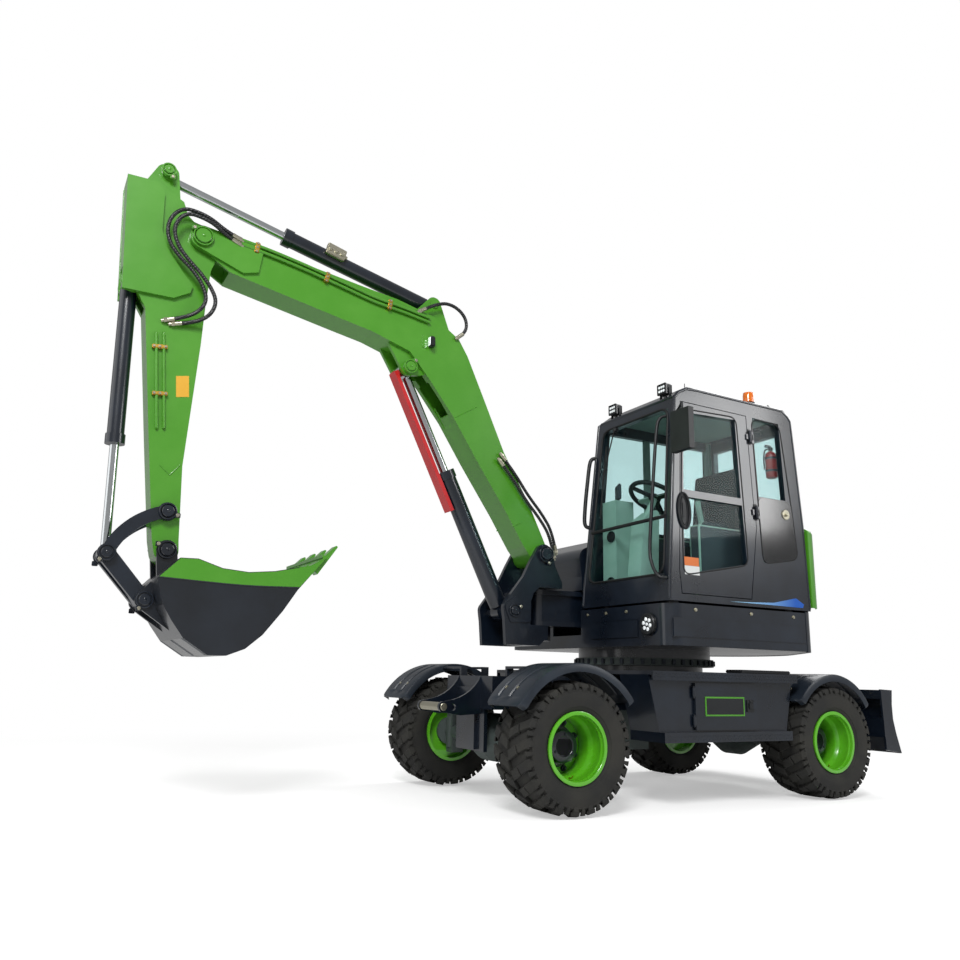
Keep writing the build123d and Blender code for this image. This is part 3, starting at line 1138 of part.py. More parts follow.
def bucket():
    side = plate_y(bucket_outline(), BOOM_Y + BUCKET_HALF - BUCKET_SIDE, BOOM_Y + BUCKET_HALF)
    other = Pos(0, -2 * BUCKET_HALF + BUCKET_SIDE, 0) * side
    body = bucket_skin() + side + other
    for i in range(TOOTH_COUNT):
        y = BOOM_Y + (i - (TOOTH_COUNT - 1) / 2) * TOOTH_PITCH
        tooth = plate_y([(TOOTH_TIP[0], TOOTH_TIP[1], 8), (2548, 1392), (2592, 1426)], y - 38, y + 38)
        body += tooth
    px, pz = BUCKET_PIN
    lx, lz = BUCKET_LINK_PIN
    for s in (1, -1):
        y_in, y_out = BOOM_Y + s * (ARM_HALF + 5), BOOM_Y + s * (ARM_HALF + 35)
        ear = plate_y([(px, pz, 60), (3452, 1330), (lx, lz, 54), (3300, 985), (3340, 1400)][::-1],
                      min(y_in, y_out), max(y_in, y_out))
        body += ear
        body += pin_y(lx, lz, BOOM_Y + s * (ARM_HALF + 5), BOOM_Y + s * (ARM_HALF + 50), 40)
    body += pin_y(px, pz, BOOM_Y - ARM_HALF - 50, BOOM_Y + ARM_HALF + 50, PIN_RADIUS)
    return body


# Every piece by its name
def make_pieces():
    pieces = {
        "chassis_frame": chassis_with_bars() + blade_pins(),
        "side_deck_left": side_deck(True),
        "side_deck_right": mirror(side_deck(False), about=Plane.XZ),
        "locker_door": locker_door(),
        "fenders": fenders(),
        "front_axle": front_axle(),
        "rear_axle": rear_axle(),
        "steering_rod": steering_rod(),
        "knuckle_left": knuckle(1),
        "knuckle_right": knuckle(-1),
        "travel_drive": travel_drive(),
        "slew_ring": slew_ring(),
        "blade": blade(),
        "upper_frame": upper_frame(),
        "skirts": skirts(),
        "counterweight": counterweight(),
        "side_hood": side_hood(),
        "rear_hood": rear_hood(),
        "power_pack": power_pack(),
        "cab_frame": cab_frame(),
        "cab_glass": cab_glass(),
        "cab_door": cab_door(),
        "door_glass": door_glass(),
        "seat": seat(),
        "controls": controls(),
        "lamps": lamps(),
        "beacon": beacon(),
        "mirrors": mirrors(),
        "swing_post": swing_post(),
        "boom": boom(),
        "rod_guard": rod_guard(),
        "arm": arm(),
        "rocker": rocker(),
        "bucket_link": bucket_link(),
        "bucket": bucket(),
    }
    for name in CYLINDERS:
        pieces[name + "_cylinder_barrel"] = barrel(name)
        pieces[name + "_cylinder_rod"] = rod(name)
    tyre_solid, rim_solid = tyre_body(), rim_body()
    for end, end_name in ((1, "front"), (-1, "rear")):
        for side, side_name in ((1, "left"), (-1, "right")):
            pieces["tyre_%s_%s" % (end_name, side_name)] = tyre(tyre_solid, end, side)
            pieces["rim_%s_%s" % (end_name, side_name)] = rim(rim_solid, end, side)
    return pieces


def main():
    pieces = make_pieces()
    boxes = [piece.bounding_box() for piece in pieces.values()]
    shift_x = -(min(b.min.X for b in boxes) + max(b.max.X for b in boxes)) / 2
    shift_y = -(min(b.min.Y for b in boxes) + max(b.max.Y for b in boxes)) / 2
    os.makedirs("parts", exist_ok=True)
    for name, piece in pieces.items():
        export_step(Pos(shift_x, shift_y, 0) * piece, "parts/%s.step" % name)
    print("frame shift", round(shift_x, 3), round(shift_y, 3))


main()
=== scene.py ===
"""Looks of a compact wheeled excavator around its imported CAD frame: finishes, hoses, pipes and fittings."""

import json
import math
from contextlib import contextmanager

import bmesh
import bpy
from mathutils import Matrix, Vector


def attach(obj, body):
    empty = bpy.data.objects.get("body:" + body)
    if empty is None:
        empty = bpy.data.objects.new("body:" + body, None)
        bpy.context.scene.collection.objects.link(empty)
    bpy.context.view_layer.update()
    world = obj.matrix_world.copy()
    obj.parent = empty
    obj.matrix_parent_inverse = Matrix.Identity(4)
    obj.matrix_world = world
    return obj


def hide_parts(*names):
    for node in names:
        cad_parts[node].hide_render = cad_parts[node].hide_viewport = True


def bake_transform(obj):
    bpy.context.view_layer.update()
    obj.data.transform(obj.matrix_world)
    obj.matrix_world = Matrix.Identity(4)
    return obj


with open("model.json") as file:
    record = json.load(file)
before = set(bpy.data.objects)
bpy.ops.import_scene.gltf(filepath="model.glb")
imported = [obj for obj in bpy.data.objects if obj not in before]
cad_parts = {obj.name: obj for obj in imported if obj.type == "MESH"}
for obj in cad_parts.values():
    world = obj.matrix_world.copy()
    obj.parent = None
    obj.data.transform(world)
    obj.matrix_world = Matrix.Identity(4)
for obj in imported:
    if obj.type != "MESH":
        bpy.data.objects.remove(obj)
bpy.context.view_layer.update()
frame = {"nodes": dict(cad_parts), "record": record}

# The machine's own drawing frame in millimetres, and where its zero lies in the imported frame
ORIGIN_X = -1009.0
ORIGIN_Y = -92.0
MM = 0.001


def at(x, y, z):
    """A place on the machine's drawing, in millimetres, as a point of the frame in metres."""
    return Vector(((x + ORIGIN_X) * MM, (y + ORIGIN_Y) * MM, z * MM))


# Node trees
def linear(hex_colour):
    """An sRGB hex colour as the linear values that a shader takes."""
    parts = [int(hex_colour[i:i + 2], 16) / 255 for i in (1, 3, 5)]
    return tuple(c / 12.92 if c <= 0.04045 else ((c + 0.055) / 1.055) ** 2.4 for c in parts) + (1.0,)


def add(tree, kind, settings=None, **links):
    """One shader node with its settings and its links: a link is (node, output), anything else is a value.

    A socket goes by its name with _ for a space, or by i and its number.
    """
    node = tree.nodes.new("ShaderNode" + kind)
    for name, value in (settings or {}).items():
        setattr(node, name, value)
    for name, value in links.items():
        plain = name.replace("_", " ")
        socket = node.inputs[plain] if plain in node.inputs else node.inputs[int(name[1:])]
        if isinstance(value, tuple) and isinstance(value[0], bpy.types.Node):
            tree.links.new(value[0].outputs[value[1]], socket)
        else:
            socket.default_value = value
    return node


def new_material(name):
    """An empty material, its tree, and the place on the object that its patterns follow."""
    material = bpy.data.materials.new(name)
    material.use_nodes = True
    tree = material.node_tree
    tree.nodes.clear()
    return material, tree, (add(tree, "TexCoord"), "Object")


def finished(material, tree, shader, output="BSDF"):
    add(tree, "OutputMaterial", Surface=(shader, output))
    return material


def spread(tree, factor, low, high, low_at=0.35, high_at=0.65):
    """Two colours of one finish, mixed by a factor between two levels."""
    ramp = add(tree, "ValToRGB", Fac=factor)
    for end, colour, level in zip(ramp.color_ramp.elements, (low, high), (low_at, high_at)):
        end.position = level
        end.color = linear(colour)
    return ramp


# Sizes of the patterns in millimetres. Orange peel, ground marks and vinyl grain are under 2 mm on the real
# machine, and are drawn as coarse as the render needs to show them.
DUST_PATCH = 312.5
ORANGE_PEEL = 6.25
WEAR_PATCH = 166.667
GROUND_MARK = 11.1111
GLASS_FILM = 200.0
HOSE_PLY = 12.083
LAMP_FACET = 14.2857
VINYL_GRAIN = 4.54545
# A wave texture at scale 1 repeats at this many metres
WAVE_LENGTH = math.pi / 10


def every(size):
    """Scale of a pattern that repeats at a size in millimetres."""
    return 1.0 / (size * MM)


def sprayed_enamel(name, hex_colour, hex_dusty, roughness=0.3, coat=0.6, beyond=None):
    """Two-pack enamel sprayed on welded plate: a clear gloss with orange peel and a breath of dust.

    beyond is (hex colour, normal, level): past that plane the same enamel has a second colour.
    """
    material, tree, place = new_material(name)
    dust = add(tree, "TexNoise", Vector=place, Scale=every(DUST_PATCH), Detail=5.0, Roughness=0.6)
    colour = spread(tree, (dust, "Fac"), hex_colour, hex_dusty, 0.42, 0.78)
    if beyond:
        other, normal, level = beyond
        reach = add(tree, "VectorMath", {"operation": "DOT_PRODUCT"}, i0=place, i1=normal)
        past = add(tree, "MapRange", Value=(reach, "Value"), i1=level, i2=level + 0.004, i3=0.0,
                   i4=1.0)
        colour = add(tree, "Mix", {"data_type": "RGBA"}, i0=(past, "Result"), i6=(colour, 0),
                     i7=linear(other))
    peel = add(tree, "TexNoise", Vector=place, Scale=every(ORANGE_PEEL), Detail=2.0)
    bump = add(tree, "Bump", Height=(peel, "Fac"), Strength=0.06, Distance=0.002)
    gloss = add(tree, "MapRange", Value=(dust, "Fac"), i3=roughness - 0.05, i4=roughness + 0.12)
    shader = add(tree, "BsdfPrincipled", Base_Color=(colour, 2 if beyond else 0), Coat_Weight=coat,
                 Roughness=(gloss, "Result"), Normal=(bump, "Normal"), Coat_Roughness=0.12, IOR=1.5)
    return finished(material, tree, shader)


def textured_plastic(name, hex_colour, hex_worn, roughness=0.6, grain=2.0):
    """Moulded plastic, rubber or cloth with a fine grain, its size in millimetres."""
    material, tree, place = new_material(name)
    wear = add(tree, "TexNoise", Vector=place, Scale=every(WEAR_PATCH), Detail=4.0)
    colour = spread(tree, (wear, "Fac"), hex_colour, hex_worn)
    cells = add(tree, "TexVoronoi", Vector=place, Scale=every(grain))
    bump = add(tree, "Bump", Height=(cells, "Distance"), Strength=0.04, Distance=0.0005)
    shader = add(tree, "BsdfPrincipled", Base_Color=(colour, "Color"), Roughness=roughness,
                 Normal=(bump, "Normal"), IOR=1.46)
    return finished(material, tree, shader)


def plain_metal(name, hex_colour, roughness, metallic=1.0):
    """Ground or plated steel with fine marks from its grinding."""
    material, tree, place = new_material(name)
    marks = add(tree, "TexNoise", Vector=place, Scale=every(GROUND_MARK), Detail=6.0)
    rough = add(tree, "MapRange", Value=(marks, "Fac"), i3=roughness * 0.7, i4=roughness * 1.5)
    bump = add(tree, "Bump", Height=(marks, "Fac"), Strength=0.05, Distance=0.001)
    shader = add(tree, "BsdfPrincipled", Base_Color=linear(hex_colour), Metallic=metallic,
                 Roughness=(rough, "Result"), Normal=(bump, "Normal"))
    return finished(material, tree, shader)


def tinted_safety_glass(name, hex_tint, hex_body, least):
    """Flat tinted glass: light passes with a tint, and the face mirrors more as it turns away."""
    material, tree, place = new_material(name)
    film = add(tree, "TexNoise", Vector=place, Scale=every(GLASS_FILM), Detail=3.0)
    rough = add(tree, "MapRange", Value=(film, "Fac"), i3=0.02, i4=0.08)
    facing = add(tree, "LayerWeight", Blend=0.15)
    share = add(tree, "MapRange", Value=(facing, "Facing"), i3=least, i4=0.7)
    clear = add(tree, "BsdfTransparent", Color=linear(hex_tint))
    body = add(tree, "BsdfPrincipled", Base_Color=linear(hex_body), Roughness=(rough, "Result"),
               IOR=1.5, Specular_IOR_Level=0.6)
    pane = add(tree, "MixShader", Fac=(share, "Result"), i1=(clear, "BSDF"), i2=(body, "BSDF"))
    return finished(material, tree, pane, "Shader")


def wrapped_rubber(name, hex_colour, hex_worn):
    """Wrapped rubber hose with a helical ply mark every few millimetres."""
    material, tree, place = new_material(name)
    wrap = add(tree, "TexWave", {"wave_type": "BANDS", "bands_direction": "DIAGONAL"},
               Vector=place, Scale=WAVE_LENGTH * every(HOSE_PLY), Distortion=1.2, Detail=1.0)
    colour = spread(tree, (wrap, "Fac"), hex_colour, hex_worn, 0.45, 0.8)
    bump = add(tree, "Bump", Height=(wrap, "Fac"), Strength=0.5, Distance=0.003)
    shader = add(tree, "BsdfPrincipled", Base_Color=(colour, "Color"), Roughness=0.42,
                 Normal=(bump, "Normal"))
    return finished(material, tree, shader)


def lamp_optic_with_painted_glow(name, hex_colour, painted_glow):
    """Lamp optic: a faceted reflector behind clear plastic, made bright by a painted glow: its emission
    stands in for the light it mirrors.
    """
    material, tree, place = new_material(name)
    cells = add(tree, "TexVoronoi", Vector=place, Scale=every(LAMP_FACET))
    bump = add(tree, "Bump", Height=(cells, "Distance"), Strength=0.6, Distance=0.004)
    shader = add(tree, "BsdfPrincipled", Base_Color=linear(hex_colour), Metallic=0.6,
                 Roughness=0.18, Normal=(bump, "Normal"), Coat_Weight=1.0,
                 Emission_Color=linear(hex_colour), Emission_Strength=painted_glow)
    return finished(material, tree, shader)


def swept_blue_vinyl(name, front, rear):
    """Printed vinyl stripe that runs from pale to deep blue along the machine."""
    material, tree, place = new_material(name)
    split = add(tree, "SeparateXYZ", Vector=place)
    along = add(tree, "MapRange", Value=(split, "X"), i1=front, i2=rear, i3=0.0, i4=1.0)
    grain = add(tree, "TexNoise", Vector=place, Scale=every(VINYL_GRAIN))
    colour = spread(tree, (along, "Result"), "#9ED4F2", "#0B57B8", 0.05, 0.95)
    bump = add(tree, "Bump", Height=(grain, "Fac"), Strength=0.03, Distance=0.001)
    shader = add(tree, "BsdfPrincipled", Base_Color=(colour, "Color"), Roughness=0.3,
                 Normal=(bump, "Normal"), Coat_Weight=0.4)
    return finished(material, tree, shader)


# Sprayed enamels: deep gloss with a soft highlight, a little dulled by dust
GREEN = sprayed_enamel("leaf_green_sprayed_enamel", "#48931C", "#529B27")
NAVY = sprayed_enamel("navy_sprayed_enamel", "#0B131E", "#131E2C", 0.26)
LIME = sprayed_enamel("lime_rim_powder_coat", "#5BB31E", "#67BE2B", 0.25)
RED = sprayed_enamel("red_guard_enamel", "#C3141A", "#CE2B2E", 0.34)
EXTINGUISHER = sprayed_enamel("signal_red_cylinder_enamel", "#B7161B", "#C3262A", 0.25)
# The bucket's lip and teeth lie past a plane, and are green
LIP_NORMAL = (-0.64, 0.0, 0.77)
LIP_LEVEL = Vector(LIP_NORMAL).dot(at(2640, 0, 1392))
BUCKET_COATS = sprayed_enamel("navy_bucket_enamel_with_green_lip", "#0C121A", "#141C27", 0.3, 0.6,
                              ("#48931C", LIP_NORMAL, LIP_LEVEL))
# Primer on castings: flat and grey, without a clear coat
STEEL = sprayed_enamel("steel_grey_casting_paint", "#4A5452", "#59625F", 0.5, 0.0)
# Hard glossy faces: lamp glass, beacon, the black border fired on the glass, and screen-printed plates
LENS = sprayed_enamel("smoked_lamp_housing_gloss", "#15181B", "#1B1F23", 0.12)
AMBER = sprayed_enamel("amber_beacon_polycarbonate", "#E8700A", "#F08520", 0.1)
BORDER = sprayed_enamel("black_ceramic_glass_border", "#07090C", "#0B0E12", 0.1)
YELLOW = sprayed_enamel("amber_yellow_blank_plate", "#E0A51E", "#E8B233", 0.4)
WHITE = sprayed_enamel("white_blank_plate", "#DDE1E0", "#E6E9E8", 0.4)
ORANGE = sprayed_enamel("orange_blank_plate", "#D9702A", "#E07F3C", 0.4)
# Moulded plastics: a broad dull sheen broken by grain
FENDER_PLASTIC = textured_plastic("blue_grey_moulded_polyethylene", "#1C232C", "#262E38", 0.36, 2.5)
PLASTIC = textured_plastic("grey_black_moulded_polyethylene", "#2A2F36", "#353B43", 0.5)
CONSOLE = textured_plastic("pale_moulded_abs", "#A9C4B4", "#B8CFC1", 0.5)
LINING = textured_plastic("grey_green_moulded_cab_lining", "#7F948B", "#8A9F96", 0.6)
TRIM = textured_plastic("dark_grey_moulded_abs", "#30363D", "#3A4047", 0.5)
SHELL = textured_plastic("black_mirror_shell_abs", "#15171A", "#1D2023", 0.42)
# Rubber and woven cloth: almost no shine
RUBBER = textured_plastic("black_vulcanised_rubber", "#232322", "#2F2E2A", 0.82, 3.0)
SEAL = textured_plastic("black_extruded_rubber_seal", "#101113", "#17181A", 0.6, 2.5)
FABRIC = textured_plastic("black_woven_seat_fabric", "#18191C", "#232529", 0.85, 1.5)
HOSE = wrapped_rubber("wrapped_black_rubber_hose", "#0E0E10", "#2B2C30")
# Bare metals: mirror-like chrome, duller zinc, yellow passivation and dark phosphate
CHROME = plain_metal("hard_chromed_ground_steel", "#D3D7D9", 0.14)
ZINC = plain_metal("zinc_plated_pressed_steel", "#B9B5A2", 0.34)
BRASS = plain_metal("yellow_passivated_clamp_steel", "#C9A24A", 0.36)
DARK_STEEL = plain_metal("phosphated_dark_steel", "#3B4047", 0.46, 0.7)
# Glass, lamp optics with a painted glow, and the printed stripe
GLASS = tinted_safety_glass("tinted_toughened_glass", "#F3FEFE", "#0A1618", 0.02)
# The diode reflectors glow with painted light: a weak emission stands in for their bright reflections.
DIODE_WITH_PAINTED_GLOW = lamp_optic_with_painted_glow("diode_reflector_with_painted_glow", "#EEF3F5", 0.5)
VINYL = swept_blue_vinyl("blue_printed_vinyl", at(-128, 0, 0).x, at(-821, 0, 0).x)

SLOT_FINISH = {
    "green_paint": GREEN, "navy_paint": NAVY, "lime_paint": LIME, "red_paint": RED, "steel_grey": STEEL,
    "dark_plastic": PLASTIC, "tyre_rubber": RUBBER, "glazing": GLASS, "chrome_rod": CHROME,
    "seat_fabric": FABRIC, "lamp_lens": LENS, "amber_lens": AMBER, "mirror_shell": SHELL, "trim_grey": TRIM,
    "pale_console": CONSOLE,
}


def finish_nodes():
    """Each carried-over CAD node takes the finish of its slot in the record."""
    slots = {part["node"]: part["material_slot"] for part in frame["record"]["subparts"]}
    for name, node in frame["nodes"].items():
        node.data.materials.clear()
        node.data.materials.append(BUCKET_COATS if name == "bucket" else SLOT_FINISH[slots[name]])


# Shapes, drawn in millimetres of the machine's drawing
def make_piece(name, shape, finish, body, slot=None, crease=32.0):
    """A piece from a shape: its sharp edges stay sharp, the rest is smooth, and it rides on a body."""
    shape.transform(Matrix.Translation(at(0, 0, 0)) @ Matrix.Scale(MM, 4))
    bmesh.ops.recalc_face_normals(shape, faces=shape.faces)
    for edge in shape.edges:
        edge.smooth = len(edge.link_faces) != 2 or edge.calc_face_angle(0.0) < math.radians(crease)
    for face in shape.faces:
        face.smooth = True
    mesh = bpy.data.meshes.new(name)
    shape.to_mesh(mesh)
    shape.free()
    mesh.materials.append(finish)
    made = bpy.data.objects.new(name, mesh)
    bpy.context.collection.objects.link(made)
    if body:
        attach(made, body)
    return made


@contextmanager
def piece(name, finish, body, slot=None, crease=32.0):
    """A shape to draw into: where its block ends, it becomes a piece that rides on a body."""
    shape = bmesh.new()
    yield shape
    make_piece(name, shape, finish, body, slot, crease)


def turns(count, shift=0.0):
    """Angles of evenly spaced places round a full turn."""
    return [2 * math.pi * (i + shift) / count for i in range(count)]


def polar(radius, turn, height):
    return Vector((radius * math.cos(turn), radius * math.sin(turn), height))


def headings(line):
    """Direction of a line at each of its places."""
    return [(after - before).normalized() for before, after in zip(line[:1] + line, line[1:] + line[-1:])]


def bridge(shape, low, high):
    """Faces between two closed loops of corners."""
    for k, corner in enumerate(low):
        n = (k + 1) % len(low)
        shape.faces.new((corner, low[n], high[n], high[k]))


def add_skin(shape, loops):
    """Closed loops joined in a row, with a flat face at each end."""
    for low, high in zip(loops, loops[1:]):
        bridge(shape, low, high)
    shape.faces.new(loops[0][::-1])
    shape.faces.new(loops[-1])


def x_axis(x, y, z):
    """Place whose local Z points forwards along the machine's X."""
    return Matrix.Translation((x, y, z)) @ Matrix.Rotation(math.pi / 2, 4, "Y")


def y_axis(x, y, z, side=1):
    """Place whose local Z points along the machine's Y, outwards for side 1."""
    return Matrix.Translation((x, y, z)) @ Matrix.Rotation(-side * math.pi / 2, 4, "X")


def on_circle(place, radius, turn, height):
    """Place at a radius, a turn and a height from another place."""
    return place @ Matrix.Translation(polar(radius, turn, height))


def side_frame(x, z, y, along, side=1):
    """Place on a vertical side: local X runs along (dx, dz), local Z points out of the side."""
    ahead = Vector((along[0], 0, along[1])).normalized()
    out = Vector((0, side, 0))
    return Matrix.Translation((x, y, z)) @ Matrix((ahead, out.cross(ahead), out)).transposed().to_4x4()


def add_box(shape, low, high, bevel=3.0, place=Matrix.Identity(4), turn=Matrix.Identity(4)):
    """Box between two corners of a place, its edges broken; turn is a turn round its centre."""
    centre = [(a + b) / 2 for a, b in zip(low, high)]
    size = [abs(b - a) for a, b in zip(low, high)]
    matrix = place @ Matrix.Translation(centre) @ turn @ Matrix.Diagonal((*size, 1.0))
    made = bmesh.ops.create_cube(shape, size=1.0, matrix=matrix)["verts"]
    edges = list({e for v in made for e in v.link_edges})
    bmesh.ops.bevel(shape, geom=edges, offset=min(bevel, min(size) * 0.3), segments=2, affect="EDGES")


def add_lathe(shape, place, rings, sides=32):
    """Rings of (height, radius) about local Z, closed with flat ends."""
    add_skin(shape, [[shape.verts.new(place @ polar(radius, turn, height)) for turn in turns(sides)]
                     for height, radius in rings])


def add_rod(shape, start, end, radius, end_radius=None, sides=20, chamfer=0.0):
    """Round bar or cone from start to end, its end edges broken by the chamfer."""
    start, end = Vector(start), Vector(end)
    length = (end - start).length
    tip = radius if end_radius is None else end_radius
    rings = [(0.0, radius - chamfer), (chamfer, radius), (length - chamfer, tip), (length, tip - chamfer)]
    if not chamfer:
        rings = [(0.0, radius), (length, tip)]
    turn = (end - start).to_track_quat("Z", "Y").to_matrix().to_4x4()
    add_lathe(shape, Matrix.Translation(start) @ turn, rings, sides)


def add_ring(shape, place, outline, sides=48):
    """Ring of revolution about local Z from a closed outline of (height, radius)."""
    loops = [[shape.verts.new(place @ polar(radius, turn, height)) for height, radius in outline]
             for turn in turns(sides)]
    for here, there in zip(loops, loops[1:] + loops[:1]):
        for k, corner in enumerate(here):
            n = (k + 1) % len(here)
            shape.faces.new((corner, there[k], there[n], here[n]))


def add_plate(shape, outline, near, far):
    """Upright plate: an outline of (x, z), taken from near to far along Y."""
    low, high = ([shape.verts.new((x, y, z)) for x, z in outline] for y in (near, far))
    add_skin(shape, [high, low])


def add_bolt(shape, place, size):
    """Hexagon bolt head on a washer; size is its thread in millimetres."""
    add_lathe(shape, place, [(0, size * 1.05), (size * 0.15, size * 1.05)], 20)
    head = [(size * 0.12, size * 0.9), (size * 0.68, size * 0.9), (size * 0.78, size * 0.74)]
    add_lathe(shape, place, head, 6)


def smooth_path(points, steps):
    """Points on a smooth line through the given ones."""
    spots = [Vector(p) for p in points]
    spots = [spots[0] * 2 - spots[1]] + spots + [spots[-1] * 2 - spots[-2]]
    line = []
    for a, b, c, d in zip(spots, spots[1:], spots[2:], spots[3:]):
        for i in range(steps):
            t = i / steps
            line.append(0.5 * (2 * b + (c - a) * t + (2 * a - 5 * b + 4 * c - d) * t * t
                               + (3 * b - a - 3 * c + d) * t ** 3))
    line.append(spots[-2])
    return line


def add_tube(shape, spots, sides, reach):
    """Tube through a row of places; reach gives its radius from the length travelled and the turn."""
    side = (spots[1] - spots[0]).orthogonal().normalized()
    loops, travelled = [], 0.0
    for last, spot, along in zip(spots[:1] + spots, spots, headings(spots)):
        side = (side - along * side.dot(along)).normalized()
        other = along.cross(side)
        travelled += (spot - last).length
        loops.append([shape.verts.new(spot + (side * math.cos(turn) + other * math.sin(turn))
                                      * reach(travelled, turn)) for turn in turns(sides)])
    add_skin(shape, loops)


def add_pipe(shape, points, radius, sides=12):
    """Round pipe along a list of points, closed at both ends."""
    add_tube(shape, [Vector(p) for p in points], sides, lambda travelled, turn: radius)


# Wheels: tyres with cut tread blocks, stepped rims, hub caps and nuts
AXLE_X = 1133.5
WHEEL_Y = 805.5
TYRE_RADIUS = 394.0
NUT_COUNT = 8
NUT_CIRCLE = 146.0
CAP_BOLT_CIRCLE = 72.0
WHEELS = {"front_left": (AXLE_X, 1), "front_right": (AXLE_X, -1), "rear_left": (-AXLE_X, 1),
          "rear_right": (-AXLE_X, -1)}
# Half outlines of (distance from the wheel's middle plane, radius), or (height, radius) about its axle
CARCASS = [(0, 371), (70, 371), (128, 368), (158, 362), (174, 350), (180, 341), (186, 338), (187.5, 334),
           (186, 330), (187, 322), (188, 296), (184, 266), (177, 243), (172, 240), (170, 236), (163, 224),
           (154, 213), (150, 206)]
RIM_STEPS = [(-68, 192), (-68, 172), (-58, 168), (30, 168), (40, 171), (58, 186), (66, 190), (128, 190),
             (134, 187), (142, 187), (148, 190), (148, 192)]
RIM_LIP = [(169, 193), (171, 191), (173, 193), (173.5, 205), (171, 213), (169, 213)]
HUB_CAP = [(-62, 99.0), (12, 99.0), (20, 96.5), (24, 90.0), (24, 62.0), (22, 60.0)]
HUB_FLANGE = [(-69.5, 128.0), (-62, 128.0), (-58, 124.0)]
VALVE = [(0, 178, 70), (0, 176, 96), (0, 168, 104), (0, 160, 108)]
# Tread: a row of lugs on each side of the middle, in two blocks each, and ribs down the side wall
LUG_COUNT = 20
LUG_HALF_WIDTH = 30.0
LUG_LEAN = 0.46
LUG_FOOT_SPREAD = 1.13
TREAD_SHOULDER = 116.0
SHOULDER_DROP = 0.22
TREAD_EDGE = 184.0
# Each block is (near y, far y, how far its near and far ends are cut askew)
LUG_BLOCKS = ((5, 92, 0, 13), (102, TREAD_EDGE, 13, 0))
# Each rib is (offset round the tyre, half width, distance of its face from the middle plane)
FLANK_RIBS = ((0, 26, 192.5), (62, 15, 190.5))


def crown_height(y):
    """Radius of the tread, which drops towards its shoulders."""
    return TYRE_RADIUS - 0.5 - max(0.0, abs(y) - TREAD_SHOULDER) * SHOULDER_DROP


def lug_run(y):
    """How far round the tread a lug's middle lies, in millimetres, at a distance from the middle plane."""
    return (100.0 - y) * LUG_LEAN


def add_tread_block(shape, spot, low, high):
    """Rubber block between a foot and a crown outline of (run, y, radius), its crown a little smaller."""
    middle = [sum(p[k] for p in high) / len(high) for k in (0, 1)]
    foot = [shape.verts.new(spot(*p)) for p in low]
    shoulder = [shape.verts.new(spot(x, y, r - 4)) for x, y, r in high]
    crown = [shape.verts.new(spot(x + (middle[0] - x) * 0.09, y + (middle[1] - y) * 0.07, r))
             for x, y, r in high]
    bridge(shape, foot, shoulder)
    bridge(shape, shoulder, crown)
    shape.faces.new(crown)


def add_flank_rib(shape, spot, run, reach, depth):
    """Rib where a lug runs down over the tyre's side wall; its foot lies in the rubber."""
    flank = [(run - reach, 182, 377), (run + reach, 182, 377), (run + reach * 0.8, depth, 350),
             (run + reach * 0.55, 187, 326), (run - reach * 0.55, 187, 326), (run - reach * 0.8, depth, 350)]
    face = [shape.verts.new(spot(*p)) for p in flank]
    foot = [shape.verts.new(spot(x, y - 14, r)) for x, y, r in flank]
    shape.faces.new((face[0], face[1], face[2], face[5]))
    shape.faces.new((face[5], face[2], face[3], face[4]))
    bridge(shape, foot, face)


def make_tyre(name, x, side):
    shape = bmesh.new()
    outline = [(-y, r) for y, r in CARCASS[::-1]] + CARCASS
    add_ring(shape, y_axis(x, side * WHEEL_Y, TYRE_RADIUS, side), outline, 120)
    for row in (1, -1):
        for turn in turns(LUG_COUNT, 0.0 if row > 0 else 0.5):
            def spot(run, y, r):
                a = turn + run / TYRE_RADIUS
                return (x + r * math.sin(a), side * (WHEEL_Y + row * y), TYRE_RADIUS + r * math.cos(a))

            for near, far, cut_near, cut_far in LUG_BLOCKS:
                ends = [(-LUG_HALF_WIDTH, near - cut_near), (LUG_HALF_WIDTH, near + cut_near),
                        (LUG_HALF_WIDTH, far + cut_far * 0.6), (-LUG_HALF_WIDTH, far - cut_far)]
                high = [(lug_run(y) + run, y, crown_height(y)) for run, y in ends]
                low = [(lug_run(y) + run * LUG_FOOT_SPREAD, *((y + 2, 356) if y > 140 else (y, 364)))
                       for run, y in ends]
                add_tread_block(shape, spot, low, high)
            for offset, reach, depth in FLANK_RIBS:
                add_flank_rib(shape, spot, lug_run(TREAD_EDGE) + offset, reach, depth)
    tyre = make_piece(f"fine_tyre_{name}", shape, RUBBER, f"wheel_{name}", "tyre_rubber", 24.0)
    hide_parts(f"tyre_{name}")


def make_wheel_fittings(name, x, side):
    body = f"wheel_{name}"
    place = y_axis(x, side * WHEEL_Y, TYRE_RADIUS, side)
    with piece(f"rim_steps_{name}", LIME, body, "lime_paint") as rim:
        add_ring(rim, place, RIM_STEPS, 96)
        add_ring(rim, place, RIM_LIP, 96)
    with piece(f"hub_cap_{name}", NAVY, body, "navy_paint") as cap:
        add_lathe(cap, place, HUB_CAP, 72)
        add_lathe(cap, place, HUB_FLANGE, 72)
    with piece(f"wheel_nuts_{name}", DARK_STEEL, body, "steel_grey") as nuts:
        for turn in turns(NUT_COUNT, 0.5):
            seat = on_circle(place, NUT_CIRCLE, turn, -70)
            add_bolt(nuts, seat, 20)
            add_lathe(nuts, seat, [(15, 9.5), (26, 9.5), (28, 8.0)], 12)
        for turn in turns(3, 0.2):
            add_bolt(nuts, on_circle(place, CAP_BOLT_CIRCLE, turn, 23.5), 9)
    with piece(f"tyre_valve_{name}", BRASS, body) as valve:
        add_pipe(valve, [place @ Vector(p) for p in VALVE], 4.5, 10)


def make_wheels():
    for name, (x, side) in WHEELS.items():
        make_tyre(name, x, side)
        make_wheel_fittings(name, x, side)


